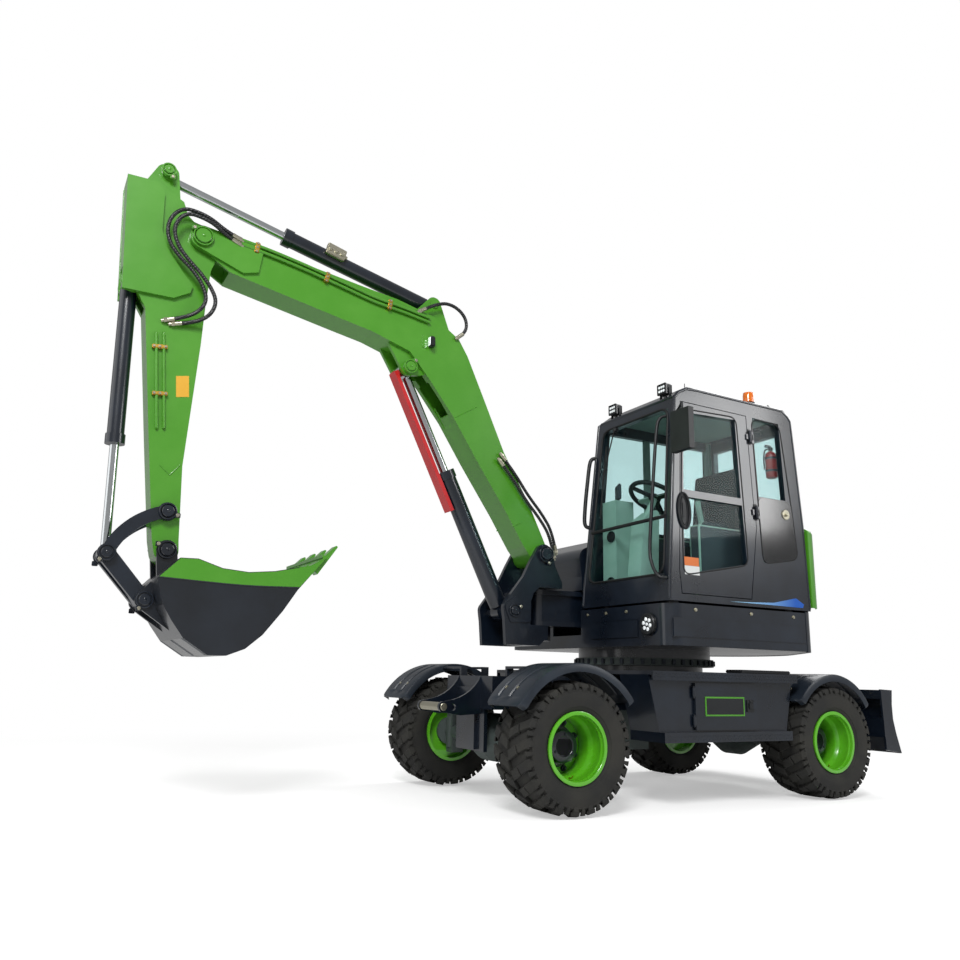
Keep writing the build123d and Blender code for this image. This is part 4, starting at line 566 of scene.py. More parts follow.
# Pins of each body: (x, z, half the width over the caps, radius of the cap, turn of its lock ear)
BOOM_Y = -160.0
PINS = {
    "boom": [(3397, 3552, 153, 66, 0.6), (1876, 2974, 128, 52, 2.2)],
    "arm": [(3648, 3971, 119, 46, 4.2)],
    "rocker": [(3430, 1724, 139, 52, 3.5), (3738, 1450, 128, 48, 5.4)],
    "bucket": [(3411, 1492, 145, 54, 0.5), (3507, 1190, 145, 50, 5.2)],
    "swing_post": [(744, 1698, 204, 62, 4.4), (1012, 1268, 200, 48, 2.6)],
}


def add_pin_cap(caps, bolts, x, y, z, side, radius, turn):
    """Cap with a raised ring and a grease bore, and the bolted ear that keeps its pin from turning."""
    place = y_axis(x, y, z, side)
    inner = radius - 10
    add_ring(caps, place, [(0, radius), (12, radius), (14, radius - 2), (14, radius - 8), (11, inner),
                           (0, inner)], 48)
    add_lathe(caps, place, [(0, radius - 16), (16, radius - 16), (20, radius - 20)], 40)
    add_lathe(caps, place, [(18, 10), (23, 10), (24, 8)], 6)
    ear_x = x + math.cos(turn) * (radius + 8)
    ear_z = z + math.sin(turn) * (radius + 8)
    add_box(caps, (ear_x - 17, y + side * 8 - 7, ear_z - 15), (ear_x + 17, y + side * 8 + 7, ear_z + 15))
    add_bolt(bolts, y_axis(ear_x, y + side * 11, ear_z, side), 13)


def make_pin_caps():
    for body, pins in PINS.items():
        coat, slot = (GREEN, "green_paint") if body in ("boom", "arm") else (NAVY, "navy_paint")
        with (piece(f"pin_bolts_{body}", ZINC, body) as bolts,
              piece(f"pin_caps_{body}", coat, body, slot) as caps):
            for x, z, half, radius, turn in pins:
                for side in (1, -1):
                    add_pin_cap(caps, bolts, x, BOOM_Y + side * (half - 6), z, side, radius, turn)


# Bucket: green upper band on both cheeks, wear strips on its back and welds
CHEEK_BAND = [(3477, 1304), (3371, 1418), (3271, 1421), (3129, 1377), (2976, 1366), (2822, 1384),
              (2600, 1436), (2508, 1492), (2664, 1300), (3020, 1290)]
BUCKET_EAR = [(3345, 1425), (3335, 1330), (3322, 1180), (3300, 990)]
BUCKET_BACK = [(2755, 1153), (2866, 1007), (2962, 923), (3067, 881), (3174, 882), (3314, 971)]
WEAR_STRIP = 5.0


def make_bucket_trim():
    with piece("bucket_green_band", GREEN, "bucket", "green_paint") as band:
        add_plate(band, CHEEK_BAND, 219, 223)
        add_plate(band, CHEEK_BAND, -539, -543)
    with piece("bucket_weld_beads", NAVY, "bucket", "navy_paint") as seams:
        for y in (222.0, -542.0):
            edge = CHEEK_BAND[-2:] + CHEEK_BAND[:1]
            add_pipe(seams, smooth_path([(x, y, z) for x, z in edge], 5), 3.5, 8)
        for y in (-22.0, -298.0):
            add_pipe(seams, smooth_path([(x, y, z) for x, z in BUCKET_EAR], 5), 4.5, 8)
    with piece("bucket_wear_strips", DARK_STEEL, "bucket", "steel_grey") as wear:
        for y0, y1 in ((150, 216), (-200, -120), (-536, -470)):
            add_strap(wear, BUCKET_BACK, y0, y1, WEAR_STRIP)


def add_strap(shape, points, y0, y1, thickness):
    """Flat strip of plate that follows a line of (x, z) points, its thickness to the line's left."""
    line = [Vector((x, 0, z)) for x, z in points]
    loops = []
    for spot, along in zip(line, headings(line)):
        outer = spot + Vector((along.z, 0, -along.x)) * -thickness
        corners = ((y0, spot), (y1, spot), (y1, outer), (y0, outer))
        loops.append([shape.verts.new(Vector((0, y, 0)) + corner) for y, corner in corners])
    add_skin(shape, loops[::-1])


# Steel pipes on both sides of the boom and the arm, as lines of (x, inset, z), and seats of their clamps
BOOM_HALF_WIDTH = 119.0
ARM_HALF_WIDTH = 95.0
BOOM_PIPE_PITCH = 34.0
BOOM_PIPE = [(3160, 3606), (2930, 3578), (2680, 3536), (2415, 3482), (2185, 3434), (1948, 3407),
             (1744, 3377)]
BOOM_PIPES = [[(x, 0, z - drop) for x, z in BOOM_PIPE] for drop in (0, BOOM_PIPE_PITCH)]
BOOM_CLAMPS = [((x0 + x1) / 2, (z0 + z1 - BOOM_PIPE_PITCH) / 2, (x1 - x0, z1 - z0))
               for (x0, z0), (x1, z1) in zip(BOOM_PIPE[:6:2], BOOM_PIPE[1::2])]
ARM_PIPE_ENDS = ((3606, 2813, 3548, 2263), (3563, 2823, 3506, 2270))
ARM_PIPES = [[(x0 + 6, 0, z0 + 30), (x0, 0, z0), ((x0 + x1) / 2, 0, (z0 + z1) / 2), (x1, 0, z1),
              (x1 - 4, 6, z1 - 26)] for x0, z0, x1, z1 in ARM_PIPE_ENDS]
ARM_CLAMPS = [(3580, 2757, (0.1, 1)), (3549, 2455, (0.1, 1))]


def make_pipes(body, half_width, gap, radius, lines, seats, clamp):
    """Pipes off both sides by a gap; clamp is (half length, half height, depth, bolt step, bevel)."""
    half_x, half_z, depth, step, bevel = clamp
    with (piece(f"{body}_clamp_bolts", ZINC, body) as bolts,
          piece(f"{body}_pipe_clamps", BRASS, body) as clamps,
          piece(f"{body}_steel_pipes", GREEN, body, "green_paint") as pipes):
        for side in (1, -1):
            for line in lines:
                spots = [(x, BOOM_Y + side * (half_width + gap - inset), z) for x, inset, z in line]
                add_pipe(pipes, smooth_path(spots, 6), radius, 14)
            for x, z, along in seats:
                seat = side_frame(x, z, BOOM_Y + side * (half_width - 1), along, side)
                add_box(clamps, (-half_x, -half_z, 0), (half_x, half_z, depth), bevel, seat)
                for height in (-step, 0, step):
                    add_bolt(bolts, seat @ Matrix.Translation((0, height, depth - 1)), 8)


# Hoses: each route is a list of given (x, z), with its y beside it
ARM_LOOP_OUTER = [(3172, 3608), (3260, 3634), (3360, 3684), (3450, 3706), (3537, 3706), (3604, 3634),
                  (3625, 3536), (3597, 3439), (3528, 3361), (3441, 3294), (3371, 3208), (3336, 3112),
                  (3372, 3027), (3459, 2972), (3553, 2943)]
ARM_LOOP_INNER = [(3172, 3574), (3260, 3604), (3340, 3640), (3420, 3664), (3500, 3671), (3558, 3625),
                  (3586, 3538), (3558, 3441), (3488, 3356), (3400, 3282), (3324, 3198), (3277, 3105),
                  (3311, 3000), (3400, 2951), (3506, 2926)]
BEND_HOSE = [(1815, 3420), (1672, 3518), (1545, 3517), (1448, 3443), (1437, 3332), (1495, 3286)]
BEND_HOSE_Y = [-24.0, -14.0, -8.0, -8.0, -14.0, -26.0]
FOOT_HOSE = [(1121, 2366), (1014, 2257), (897, 2102), (761, 1964), (672, 1840), (640, 1700)]
# Step along a hose, the pitch of its wrap and how far the wrap dips
HOSE_STEP = 4.0
WRAP_PITCH = 15.0
WRAP_DIP = 1.3


def sample_route(name, route, step):
    """Places at even steps along the smooth line whose control points are the route."""
    curve = bpy.data.curves.new(name, "CURVE")
    curve.dimensions = "3D"
    curve.resolution_u = 24
    line = curve.splines.new("NURBS")
    line.points.add(len(route) - 1)
    for point, place in zip(line.points, route):
        point.co = (*place, 1.0)
    line.order_u = 3
    line.use_endpoint_u = True
    drawn = bpy.data.objects.new(name, curve)
    bpy.context.collection.objects.link(drawn)
    mesh = bpy.data.meshes.new_from_object(drawn)
    spots = [vertex.co.copy() for vertex in mesh.vertices]
    bpy.data.objects.remove(drawn)
    bpy.data.curves.remove(curve)
    bpy.data.meshes.remove(mesh)
    evened, travelled, due = [spots[0]], 0.0, step
    for a, b in zip(spots, spots[1:]):
        run = (b - a).length
        while due <= travelled + run:
            evened.append(a.lerp(b, (due - travelled) / run))
            due += step
        travelled += run
    if (evened[-1] - spots[-1]).length > step * 0.3:
        evened.append(spots[-1])
    return evened


def add_fitting(shape, tip, inward, diameter):
    """Crimped ferrule and swivel nut where a hose ends; inward points back along the hose."""
    inward = inward.normalized()
    r = diameter / 2
    add_rod(shape, tip - inward * 2, tip + inward * diameter * 1.6, r + 2.2, chamfer=1.5)
    add_rod(shape, tip - inward * diameter * 0.9, tip - inward * 1, r + 4.0, sides=6, chamfer=1.5)
    add_rod(shape, tip - inward * diameter * 1.5, tip - inward * diameter * 0.8, r - 1.0, sides=16)


def make_hose(name, route, diameter, near_body, far_body=None):
    """Wrapped hose with crimped ends: where there are two bodies, its fittings ride on the near and the far
    body and the hose itself rides on none.
    """
    def wrap(travelled, turn):
        phase = 2 * math.pi * travelled / WRAP_PITCH - turn
        return diameter / 2 - WRAP_DIP * (0.5 + 0.5 * math.cos(phase)) ** 3

    spots = sample_route(name, route, HOSE_STEP)
    shape = bmesh.new()
    add_tube(shape, spots, 14, wrap)
    hose = make_piece(name, shape, HOSE, None if far_body else near_body, None, 75.0)
    if far_body:
        fifth = len(spots) // 5
        at(*spots[fifth])
        at(*spots[-fifth])
        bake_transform(hose)
    path = [at(*spot) for spot in spots[::2] + spots[-1:]]
    for end, body, tip, back in (("near", near_body, spots[0], spots[6]),
                                 ("far", far_body or near_body, spots[-1], spots[-7])):
        with piece(f"{name}_{end}_fitting", ZINC, body) as fitting:
            add_fitting(fitting, tip, back - tip, diameter)


def make_hoses():
    for name, loop, out, length in (("arm_hose_outer", ARM_LOOP_OUTER, 0.0, 1.38),
                                    ("arm_hose_inner", ARM_LOOP_INNER, 20.0, 1.35)):
        across = [-24.0, -16.0] + [out] * (len(loop) - 4) + [-30.0, -48.0]
        make_hose(name, [(x, y, z) for (x, z), y in zip(loop, across)], 26, "boom", "arm")
    make_hose("bend_hose", [(x, y, z) for (x, z), y in zip(BEND_HOSE, BEND_HOSE_Y)], 26, "boom")
    for i, (y, rise) in enumerate(((-14.0, 0), (-22.0, 44), (-298.0, 10))):
        route = [(x - rise * 0.5, y, z + rise) for x, z in FOOT_HOSE]
        make_hose(f"foot_hose_{i + 1}", route, 24, "boom", "swing_post")


# Fenders: moulded arcs over the wheels with two sunken grooves and a deep edge
FENDER_INNER_Y = 606.0
FENDER_OUTER_Y = 1006.0
FENDER_EDGE = 52.0
FENDER_WALL = 7.0
FENDER_END_ROUND = 34.0
FENDER_STEPS = 60
# Turns, in radians, over which an end wall is thick, and from an end to its bolts
FENDER_END_WALL = 0.014
FENDER_BOLT_TURN = 0.27
GROOVES = ((702.0, 738.0), (832.0, 868.0))
GROOVE_DEPTH = 8.0
# Each groove starts this far from an end and from the crest, and eases in over the second length
GROOVE_FROM_END = (42.0, 22.0)
GROOVE_FROM_CREST = (110.0, 30.0)
# Each arc is (centre x, centre z, radius, first and last angle in degrees)
FRONT_FENDER = (AXLE_X, TYRE_RADIUS, 497.0, 29.0, 148.0)
REAR_FENDER = (-AXLE_X - 2.0, 431.0, 441.0, 34.0, 151.0)


def eased(share):
    share = min(1.0, max(0.0, share))
    return share * share * (3 - 2 * share)


def fender_section(groove):
    """Closed outline of (y, distance below the top surface) with the grooves at a depth."""
    low, high, edge, wall = FENDER_INNER_Y, FENDER_OUTER_Y, FENDER_EDGE, FENDER_WALL
    top = [(low, edge), (low, 14), (low + 5, 4), (low + 16, 0)]
    for a, b in GROOVES:
        top += [(a - 6, 0), (a, groove), (b, groove), (b + 6, 0)]
    top += [(high - 16, 0), (high - 5, 4), (high, 14), (high, edge)]
    under = [(high - wall, edge), (high - wall, 15), (high - 18, wall)]
    for a, b in GROOVES[::-1]:
        under += [(b + 2, wall), (b - 3, groove + wall), (a + 3, groove + wall), (a - 2, wall)]
    return top + under + [(low + 18, wall), (low + wall, 15), (low + wall, edge)]


def add_fender(shape, bolts, arc, side):
    """Fender over one wheel: its grooves ease out towards the ends and the crest, its ends are rounded."""
    cx, cz, radius, start, finish = arc
    start, finish = math.radians(start), math.radians(finish)
    middle = (FENDER_INNER_Y + FENDER_OUTER_Y) / 2

    def spot(turn, y, drop):
        r = radius - drop
        return shape.verts.new((cx + r * math.cos(turn), side * y, cz + r * math.sin(turn)))

    loops = []
    for i in range(FENDER_STEPS + 1):
        t = start + (finish - start) * i / FENDER_STEPS
        run = min(t - start, finish - t) * radius
        short = max(0.0, FENDER_END_ROUND - run)
        inset = FENDER_END_ROUND - math.sqrt(FENDER_END_ROUND ** 2 - short ** 2)
        from_crest = abs(t - math.pi / 2) * radius
        depth = GROOVE_DEPTH
        for way, (gap, ease) in ((run, GROOVE_FROM_END), (from_crest, GROOVE_FROM_CREST)):
            depth *= eased((way - gap) / ease)
        loops.append([spot(t, middle + (y - middle) * (1 - inset / 200), drop)
                      for y, drop in fender_section(depth)])
    for low, high in zip(loops, loops[1:]):
        bridge(shape, low, high)
    count = len(loops[0])
    for loop in (loops[0], loops[-1]):
        for k in range(count // 2 - 1):
            shape.faces.new((loop[k], loop[k + 1], loop[count - 2 - k], loop[count - 1 - k]))
    low, high = FENDER_INNER_Y + FENDER_END_ROUND, FENDER_OUTER_Y - FENDER_END_ROUND
    for t in (start, finish - FENDER_END_WALL):
        near, far = ([spot(turn, y, drop) for y, drop in ((low, 2), (high, 2), (high, 10), (low, 10))]
                     for turn in (t, t + FENDER_END_WALL))
        add_skin(shape, [far, near])
    for a, b in GROOVES:
        for t in (start + FENDER_BOLT_TURN, finish - FENDER_BOLT_TURN):
            out = Vector((math.cos(t), 0, math.sin(t)))
            seat = Vector((cx, side * (a + b) / 2, cz)) + out * (radius - 10)
            add_bolt(bolts, Matrix.Translation(seat) @ out.to_track_quat("Z", "Y").to_matrix().to_4x4(), 13)


def make_fenders():
    shape, bolts = bmesh.new(), bmesh.new()
    for side in (1, -1):
        for arc in (FRONT_FENDER, REAR_FENDER):
            add_fender(shape, bolts, arc, side)
    fenders = make_piece("moulded_fenders", shape, FENDER_PLASTIC, "undercarriage", "dark_plastic", 40.0)
    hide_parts("fenders")
    make_piece("fender_bolts", bolts, ZINC, "undercarriage")


# Rear corners and stripe
SLEW_X = -199.0
CORNER_LINE = [(-962, 1004), (-976, 1004), (-996, 1001), (-1018, 993), (-1038, 980), (-1056, 963),
               (-1070, 942)]
STRIPE = [(-128, 1339), (-500, 1338), (-860, 1336), (-872, 1362), (-792, 1402), (-560, 1356), (-330, 1345)]


def add_wall(shape, points, z0, z1, wall, crown):
    """Upright curved wall through (x, y) points, its thickness inwards; its top leans in by the crown."""
    line = [Vector((x, y, 0)) for x, y in points]
    section = [(0, z0), (0, z1 - crown), (crown * 0.3, z1 - crown * 0.3), (crown, z1),
               (crown + wall, z1 - wall), (wall, z1 - crown), (wall, z0)]
    loops = []
    for spot, along in zip(line, headings(line)):
        inward = Vector((-along.y, along.x, 0))
        if inward.dot(Vector((SLEW_X, 0, 0)) - spot) < 0:
            inward = -inward
        loops.append([shape.verts.new(spot + inward * depth + Vector((0, 0, z))) for depth, z in section])
    add_skin(shape, loops[::-1])


def make_corner_panels():
    with piece("rear_corner_panels", GREEN, "upper", "green_paint", 50.0) as shape:
        for side in (1, -1):
            add_wall(shape, [(x, side * y) for x, y in CORNER_LINE], 1342.0, 1937.0, 6.0, 40.0)
            add_box(shape, (-961.5, side * 925, 1342), (-955.5, side * 1003, 1915), 2.0)


def make_stripe():
    with piece("blue_stripe", VINYL, "upper") as shape:
        add_plate(shape, STRIPE, 1000.4, 1001.4)


# Cab: outlines of (x, z) on its left wall or (y, z) on its front, which both lean in as they rise
CAB_FLOOR = 1316.0
CAB_LEAN = 0.0401
WINDSHIELD_LEAN = 0.10575
DOOR_SEAL = [(-342, 1606), (274, 1490), (252, 2056), (196, 2688), (-334, 2712), (-340, 2110)]
QUARTER_SEAL = [(-862, 1690), (-492, 1630), (-494, 2732), (-792, 2728), (-838, 2110)]
QUARTER_PANEL = [(-860, 1692), (-494, 1632), (-494, 2124), (-836, 2124)]
WINDSHIELD_SEAL = [(96, 1496), (934, 1496), (884, 2700), (132, 2700)]
LEFT_EDGE = [(408, 1328), (398, 1465), (262, 2764), (228, 2808), (150, 2850), (60, 2856), (-840, 2856),
             (-900, 2814), (-926, 2780), (-950, 1954), (-941, 1330)]
LATCH_X = 240.0
LATCH_Z = 1936.0
# Places along the grab rails and the wiper: (y, z, lift off the front)
NEAR_RAIL = [(872, 2640, -4), (846, 2610, 42), (838, 2500, 56), (838, 2100, 58), (842, 1690, 56),
             (872, 1560, 52), (930, 1478, 42), (965, 1466, -2)]
FAR_RAIL = [(62, 2500, -6), (40, 2470, 34), (34, 2300, 42), (30, 2080, 42), (36, 1960, 34), (58, 1930, -6)]
WIPER_ARM = [(300, 2672, 20), (240, 2420, 26), (200, 2250, 18)]
WIPER_BLADE = [(206, 2560, 12), (200, 2280, 12), (196, 1990, 12)]


def on_wall(x, z, lift=0.0):
    return Vector((x, 1000.0 - CAB_LEAN * (z - CAB_FLOOR) + lift, z))


def on_front(y, z, lift=0.0):
    return Vector((400.0 - WINDSHIELD_LEAN * (z - 1465.0) + lift, y, z))


def rounded(outline, radius, steps=5):
    """A closed outline with each corner cut to an arc-like curve."""
    line = []
    for i, corner in enumerate(outline):
        here = Vector(corner)
        before = Vector(outline[i - 1]) - here
        after = Vector(outline[(i + 1) % len(outline)]) - here
        reach = min(radius, before.length * 0.45, after.length * 0.45)
        a, b = here + before.normalized() * reach, here + after.normalized() * reach
        for k in range(steps + 1):
            t = k / steps
            line.append(a * (1 - t) ** 2 + here * 2 * t * (1 - t) + b * t ** 2)
    return line


def add_seal(shape, outline, spot, radius, corner=70.0):
    """Round seal along a closed outline, each place made by the spot function."""
    line = [spot(a, b) for a, b in rounded(outline, corner)]
    add_pipe(shape, line + line[:2], radius, 8)


def make_cab_glazing_trim():
    with piece("cab_window_seals", SEAL, "upper") as seals:
        add_seal(seals, QUARTER_SEAL, on_wall, 5.0)
        add_seal(seals, WINDSHIELD_SEAL, on_front, 9.0, 90.0)
    with piece("door_window_seal", SEAL, "cab_door") as door:
        add_seal(door, DOOR_SEAL, on_wall, 5.0)
    with piece("quarter_black_glass", BORDER, "upper") as panel:
        low = [panel.verts.new(on_wall(x, z, 0.4)) for x, z in rounded(QUARTER_PANEL, 60.0)]
        high = [panel.verts.new(v.co + Vector((0, 2.0, 0))) for v in low]
        add_skin(panel, [high, low])
    with piece("windshield_middle_bar", SEAL, "upper") as bar:
        add_pipe(bar, [on_front(100, 1886, 4), on_front(510, 1890, 4), on_front(925, 1894, 4)], 13.0, 10)


def latch_oval(half_width, half_height, lift):
    return [on_wall(LATCH_X + half_width * math.cos(turn), LATCH_Z + half_height * math.sin(turn), lift)
            for turn in turns(40)]


def add_wall_plate(shape, x0, x1, z, z0, z1, sink, lift, bevel):
    """Flat plate on the cab's left wall, level with the wall at a height z."""
    y = on_wall(0, z).y
    add_box(shape, (x0, y - sink, z0), (x1, y + lift, z1), bevel)


def make_door_fittings():
    with piece("door_latch_oval", SHELL, "cab_door") as latch:
        for half_width, half_height, lift, radius in ((52, 124, 7, 9), (30, 98, 3, 5)):
            loop = latch_oval(half_width, half_height, lift)
            add_pipe(latch, loop + loop[:2], radius, 10)
        latch.faces.new([latch.verts.new(spot) for spot in latch_oval(50, 122, 3)])
        add_wall_plate(latch, 222, 258, LATCH_Z, 1880, 1992, 4, 9, 8)
    with piece("door_label_orange_part", ORANGE, "cab_door") as label:
        add_wall_plate(label, 132, 262, 1585, 1558, 1617, 6, 1.6, 1.0)
    with piece("door_label_white_part", WHITE, "cab_door") as label:
        add_wall_plate(label, 130, 264, 1525, 1496, 1557, 6, 1.6, 1.0)
    with piece("door_hold_open_catch", ZINC, "upper") as catch:
        seat = y_axis(*on_wall(-766, 2020, 2))
        add_lathe(catch, seat, [(0, 38), (6, 38), (9, 34), (9, 20)], 28)
        add_lathe(catch, seat, [(6, 14), (24, 13), (28, 9)], 20)
    with piece("door_hinge_plates", SHELL, "upper") as hinge:
        for z in (2577, 2002):
            add_wall_plate(hinge, -470, -438, z, z - 62, z + 62, 4, 3, 3)


def make_cab_rails():
    with piece("cab_rounded_edges", NAVY, "upper", "navy_paint") as tubes:
        left = [on_wall(x, z, -7) - Vector((5 if x > 0 else -5, 0, 4 if z > 2700 else 0))
                for x, z in LEFT_EDGE]
        right = [on_front(43 + 0.4 * CAB_LEAN * (z - CAB_FLOOR), z, -6) for z in (1330, 1465, 2100, 2764)]
        top = [on_front(y, 2766, -6) + Vector((0, 0, 4)) for y in (100, 500, 930)]
        for line in (left, right, top):
            add_pipe(tubes, line, 13)
    with piece("cab_grab_rails", SHELL, "upper", "mirror_shell") as rails:
        add_pipe(rails, smooth_path([on_front(*p) for p in NEAR_RAIL], 6), 12)
        add_pipe(rails, smooth_path([on_front(*p) for p in FAR_RAIL], 6), 15)
    with piece("windshield_wiper", SHELL, "upper") as wiper:
        add_lathe(wiper, x_axis(*on_front(300, 2672)), [(-6, 20), (22, 18), (26, 14)], 20)
        add_pipe(wiper, [on_front(*p) for p in WIPER_ARM], 5, 8)
        add_pipe(wiper, [on_front(*p) for p in WIPER_BLADE], 7, 6)


# Lamps, beacon and aerial
ROOF_LAMPS_Y = (825.0, 256.0)
LAMP_BACK, LAMP_FACE, LAMP_RIM = 212, 262, 279
LAMP_LOW, LAMP_HIGH, LAMP_HALF = 2812, 2892, 44
SKIRT_LAMP = (419, 800, 1165)
BEACON = (-560, 868)
AERIAL = (120, 900)
ROOF_EYE = [(-720, 900, 2858), (-726, 900, 2884), (-742, 896, 2890), (-756, 892, 2878), (-752, 890, 2858)]


def add_roof_lamp(shells, lights, y):
    """Work lamp with a raised bezel, cooling fins, a bracket and two rows of three diodes."""
    half, low, high = LAMP_HALF, LAMP_LOW, LAMP_HIGH
    add_box(shells, (LAMP_BACK, y - half, low), (LAMP_FACE, y + half, high), 9)
    for y0, y1, z0, z1 in ((-half, half, high - 10, high), (-half, half, low, low + 8),
                           (-half, 8 - half, low + 6, high - 8), (half - 8, half, low + 6, high - 8)):
        add_box(shells, (LAMP_FACE, y + y0, z0), (LAMP_RIM, y + y1, z1), 2.5)
    for fin in range(-36, 36, 17):
        add_box(shells, (LAMP_BACK - 6, y + fin, low + 6), (LAMP_BACK + 2, y + fin + 6, high - 6), 1.5)
    add_box(shells, (226, y - 52, 2776), (248, y + 52, 2784), 3)
    for side in (-1, 1):
        add_box(shells, (226, y + side * 48 - 3, 2778), (248, y + side * 48 + 3, 2860), 2)
    for row in (-1, 1):
        for column in (-1, 0, 1):
            place = x_axis(274, y + column * 23, 2852 + row * 15)
            add_lathe(lights, place, [(0, 9.5), (2.5, 9.5), (4, 6)], 16)


def make_lamps():
    # The diodes take the reflector finish whose emission is a painted glow.
    with (piece("lamp_diodes", DIODE_WITH_PAINTED_GLOW, "upper") as lights,
          piece("lamp_housings", SHELL, "upper", "mirror_shell") as shells):
        for y in ROOF_LAMPS_Y:
            add_roof_lamp(shells, lights, y)
        place = x_axis(*SKIRT_LAMP)
        add_ring(shells, place, [(0, 76), (18, 74), (25, 68), (25, 60), (18, 58), (0, 58)], 48)
        for turn in turns(6, 0.25):
            add_lathe(lights, on_circle(place, 34, turn, 21), [(0, 13), (3, 13), (5, 9)], 20)
        add_lathe(lights, on_circle(place, 0, 0, 21), [(0, 11), (3, 11), (5, 8)], 20)
    with piece("beacon_black_foot", SHELL, "upper", "mirror_shell") as foot:
        add_lathe(foot, Matrix.Translation((*BEACON, 2862.5)), [(0, 52), (8, 52), (20, 47), (24, 47)], 36)
    with piece("beacon_ribbed_dome", AMBER, "upper", "amber_lens") as dome:
        place = Matrix.Translation((*BEACON, 2884))
        add_lathe(dome, place, [(0, 41), (60, 41), (74, 38), (79, 30), (81, 18)], 36)
    with piece("roof_aerial_and_eye", SHELL, "upper") as mast:
        add_rod(mast, (*AERIAL, 2856), (*AERIAL, 2902), 4, 2.5, 10)
        add_pipe(mast, smooth_path(ROOF_EYE, 5), 4, 8)


# Inside the cab
SEAT_Y = 520.0
STEERING_WHEEL = (95, SEAT_Y, 2122)
STEERING_RADIUS = 190.0
GRIP_RADIUS = 17.5
BOTTLE = Vector((-872.0, 778.0, 2352.0))
BOTTLE_OUTLINE = [(0, 30), (6, 41), (14, 44), (176, 44), (196, 40), (212, 26), (218, 16)]
BOTTLE_HOSE = [(12, 0, 236), (50, -12, 220), (54, -22, 150), (50, -24, 70)]


def make_cab_inside():
    with piece("seat_side_consoles", TRIM, "upper", "trim_grey") as dark:
        for y in (SEAT_Y - 300, SEAT_Y + 300):
            add_box(dark, (-483, y - 49, 1363), (3, y + 49, 1886), 14)
            add_box(dark, (-300, y - 40, 1884), (-60, y + 40, 1912), 12)
        add_box(dark, (-690, 300, 1363), (-100, 740, 1500), 10)
    with piece("steering_wheel_grip", SHELL, "upper", "mirror_shell") as wheel:
        place = Matrix.Translation(STEERING_WHEEL) @ Matrix.Rotation(math.atan2(-0.49, 0.87), 4, "Y")
        grip = [(GRIP_RADIUS * math.sin(turn), STEERING_RADIUS + GRIP_RADIUS * math.cos(turn))
                for turn in turns(12)]
        add_ring(wheel, place, grip, 56)
        add_lathe(wheel, place, [(-14, 46), (10, 46), (18, 34)], 28)
        for turn in turns(3, 0.75):
            add_box(wheel, (30, -23, -8.5), (182, 23, 8.5), 5, place @ Matrix.Rotation(turn, 4, "Z"))
        knob = place @ Matrix.Translation((-130, -140, 16))
        add_lathe(wheel, knob, [(0, 12), (30, 14), (44, 20), (52, 12)], 16)
    with piece("monitor_case", TRIM, "upper", "trim_grey") as screen:
        tilt = Matrix.Rotation(math.radians(-28), 4, "Z")
        add_box(screen, (188, 150, 2140), (214, 292, 2262), 9, turn=tilt)
        add_rod(screen, (205, 221, 2118), (203, 221, 2160), 11, sides=12)
    with piece("console_round_vents", SHELL, "upper", "mirror_shell") as vents:
        for y, z in ((246, 1846), (238, 1500)):
            place = x_axis(293, y, z)
            add_ring(vents, place, [(0, 44), (10, 42), (12, 36), (8, 32), (0, 32)], 28)
            add_lathe(vents, place, [(-2, 32), (3, 31)], 28)
            for k in (-16, 0, 16):
                add_box(vents, (-28, k - 2, 2), (28, k + 2, 8), 1, place)


def make_extinguisher():
    x, y, z = BOTTLE
    with piece("extinguisher_bottle", EXTINGUISHER, "upper") as bottle:
        add_lathe(bottle, Matrix.Translation(BOTTLE), BOTTLE_OUTLINE)
    with piece("extinguisher_valve", SHELL, "upper") as valve:
        place = Matrix.Translation((x, y, z + 216))
        add_lathe(valve, place, [(0, 15), (12, 15), (14, 19), (30, 19), (34, 12)], 20)
        add_box(valve, (x - 8, y - 8, z + 244), (x + 62, y + 8, z + 252), 3)
        add_box(valve, (x - 8, y - 7, z + 258), (x + 58, y + 7, z + 265), 3)
        add_pipe(valve, smooth_path([BOTTLE + Vector(p) for p in BOTTLE_HOSE], 5), 6, 8)
    with piece("extinguisher_bracket", DARK_STEEL, "upper") as strap:
        for height in (50, 150):
            place = Matrix.Translation((x, y, z + height))
            add_ring(strap, place, [(0, 44), (16, 44), (16, 47), (0, 47)], 32)
        add_box(strap, (-905, y - 30, z + 20), (-896, y + 30, z + 200), 3)
        add_box(strap, (-900, y - 12, z + 44), (x - 40, y + 12, z + 72), 2)


# Skirts and slew ring
SLEW_TOOTH_COUNT = 44
SLEW_TOOTH_FOOT, SLEW_TOOTH_TIP = 520, 540
SLEW_TOOTH_Z = 912


def make_skirt_fittings():
    with piece("skirt_bolts", ZINC, "upper") as bolts:
        for x in (188, -330, -753):
            add_bolt(bolts, y_axis(x, 999.5, 1264), 12)
        for y in (110, 330, 560):
            add_bolt(bolts, x_axis(418, y, 1262), 12)
    make_boxes("skirt_raised_bands")
    with piece("slew_ring_teeth", DARK_STEEL, "undercarriage", "steel_grey") as ring:
        for turn in turns(SLEW_TOOTH_COUNT):
            place = Matrix.Translation((SLEW_X, 0, SLEW_TOOTH_Z)) @ Matrix.Rotation(turn, 4, "Z")
            add_box(ring, (SLEW_TOOTH_FOOT, -13, 0), (SLEW_TOOTH_TIP, 13, 38), 3, place)


# Toolbox lock, deck tread and the tongue's cross bar
LOCKER_FACE_Y = 948.0
TREAD_Y = 979.2
TREAD_PITCH = 24
TREAD_ROWS = ((822, -762, 540), (842, -750, 540), (429, -682, 456), (449, -670, 456))
TONGUE_BAR = (1628, 600)


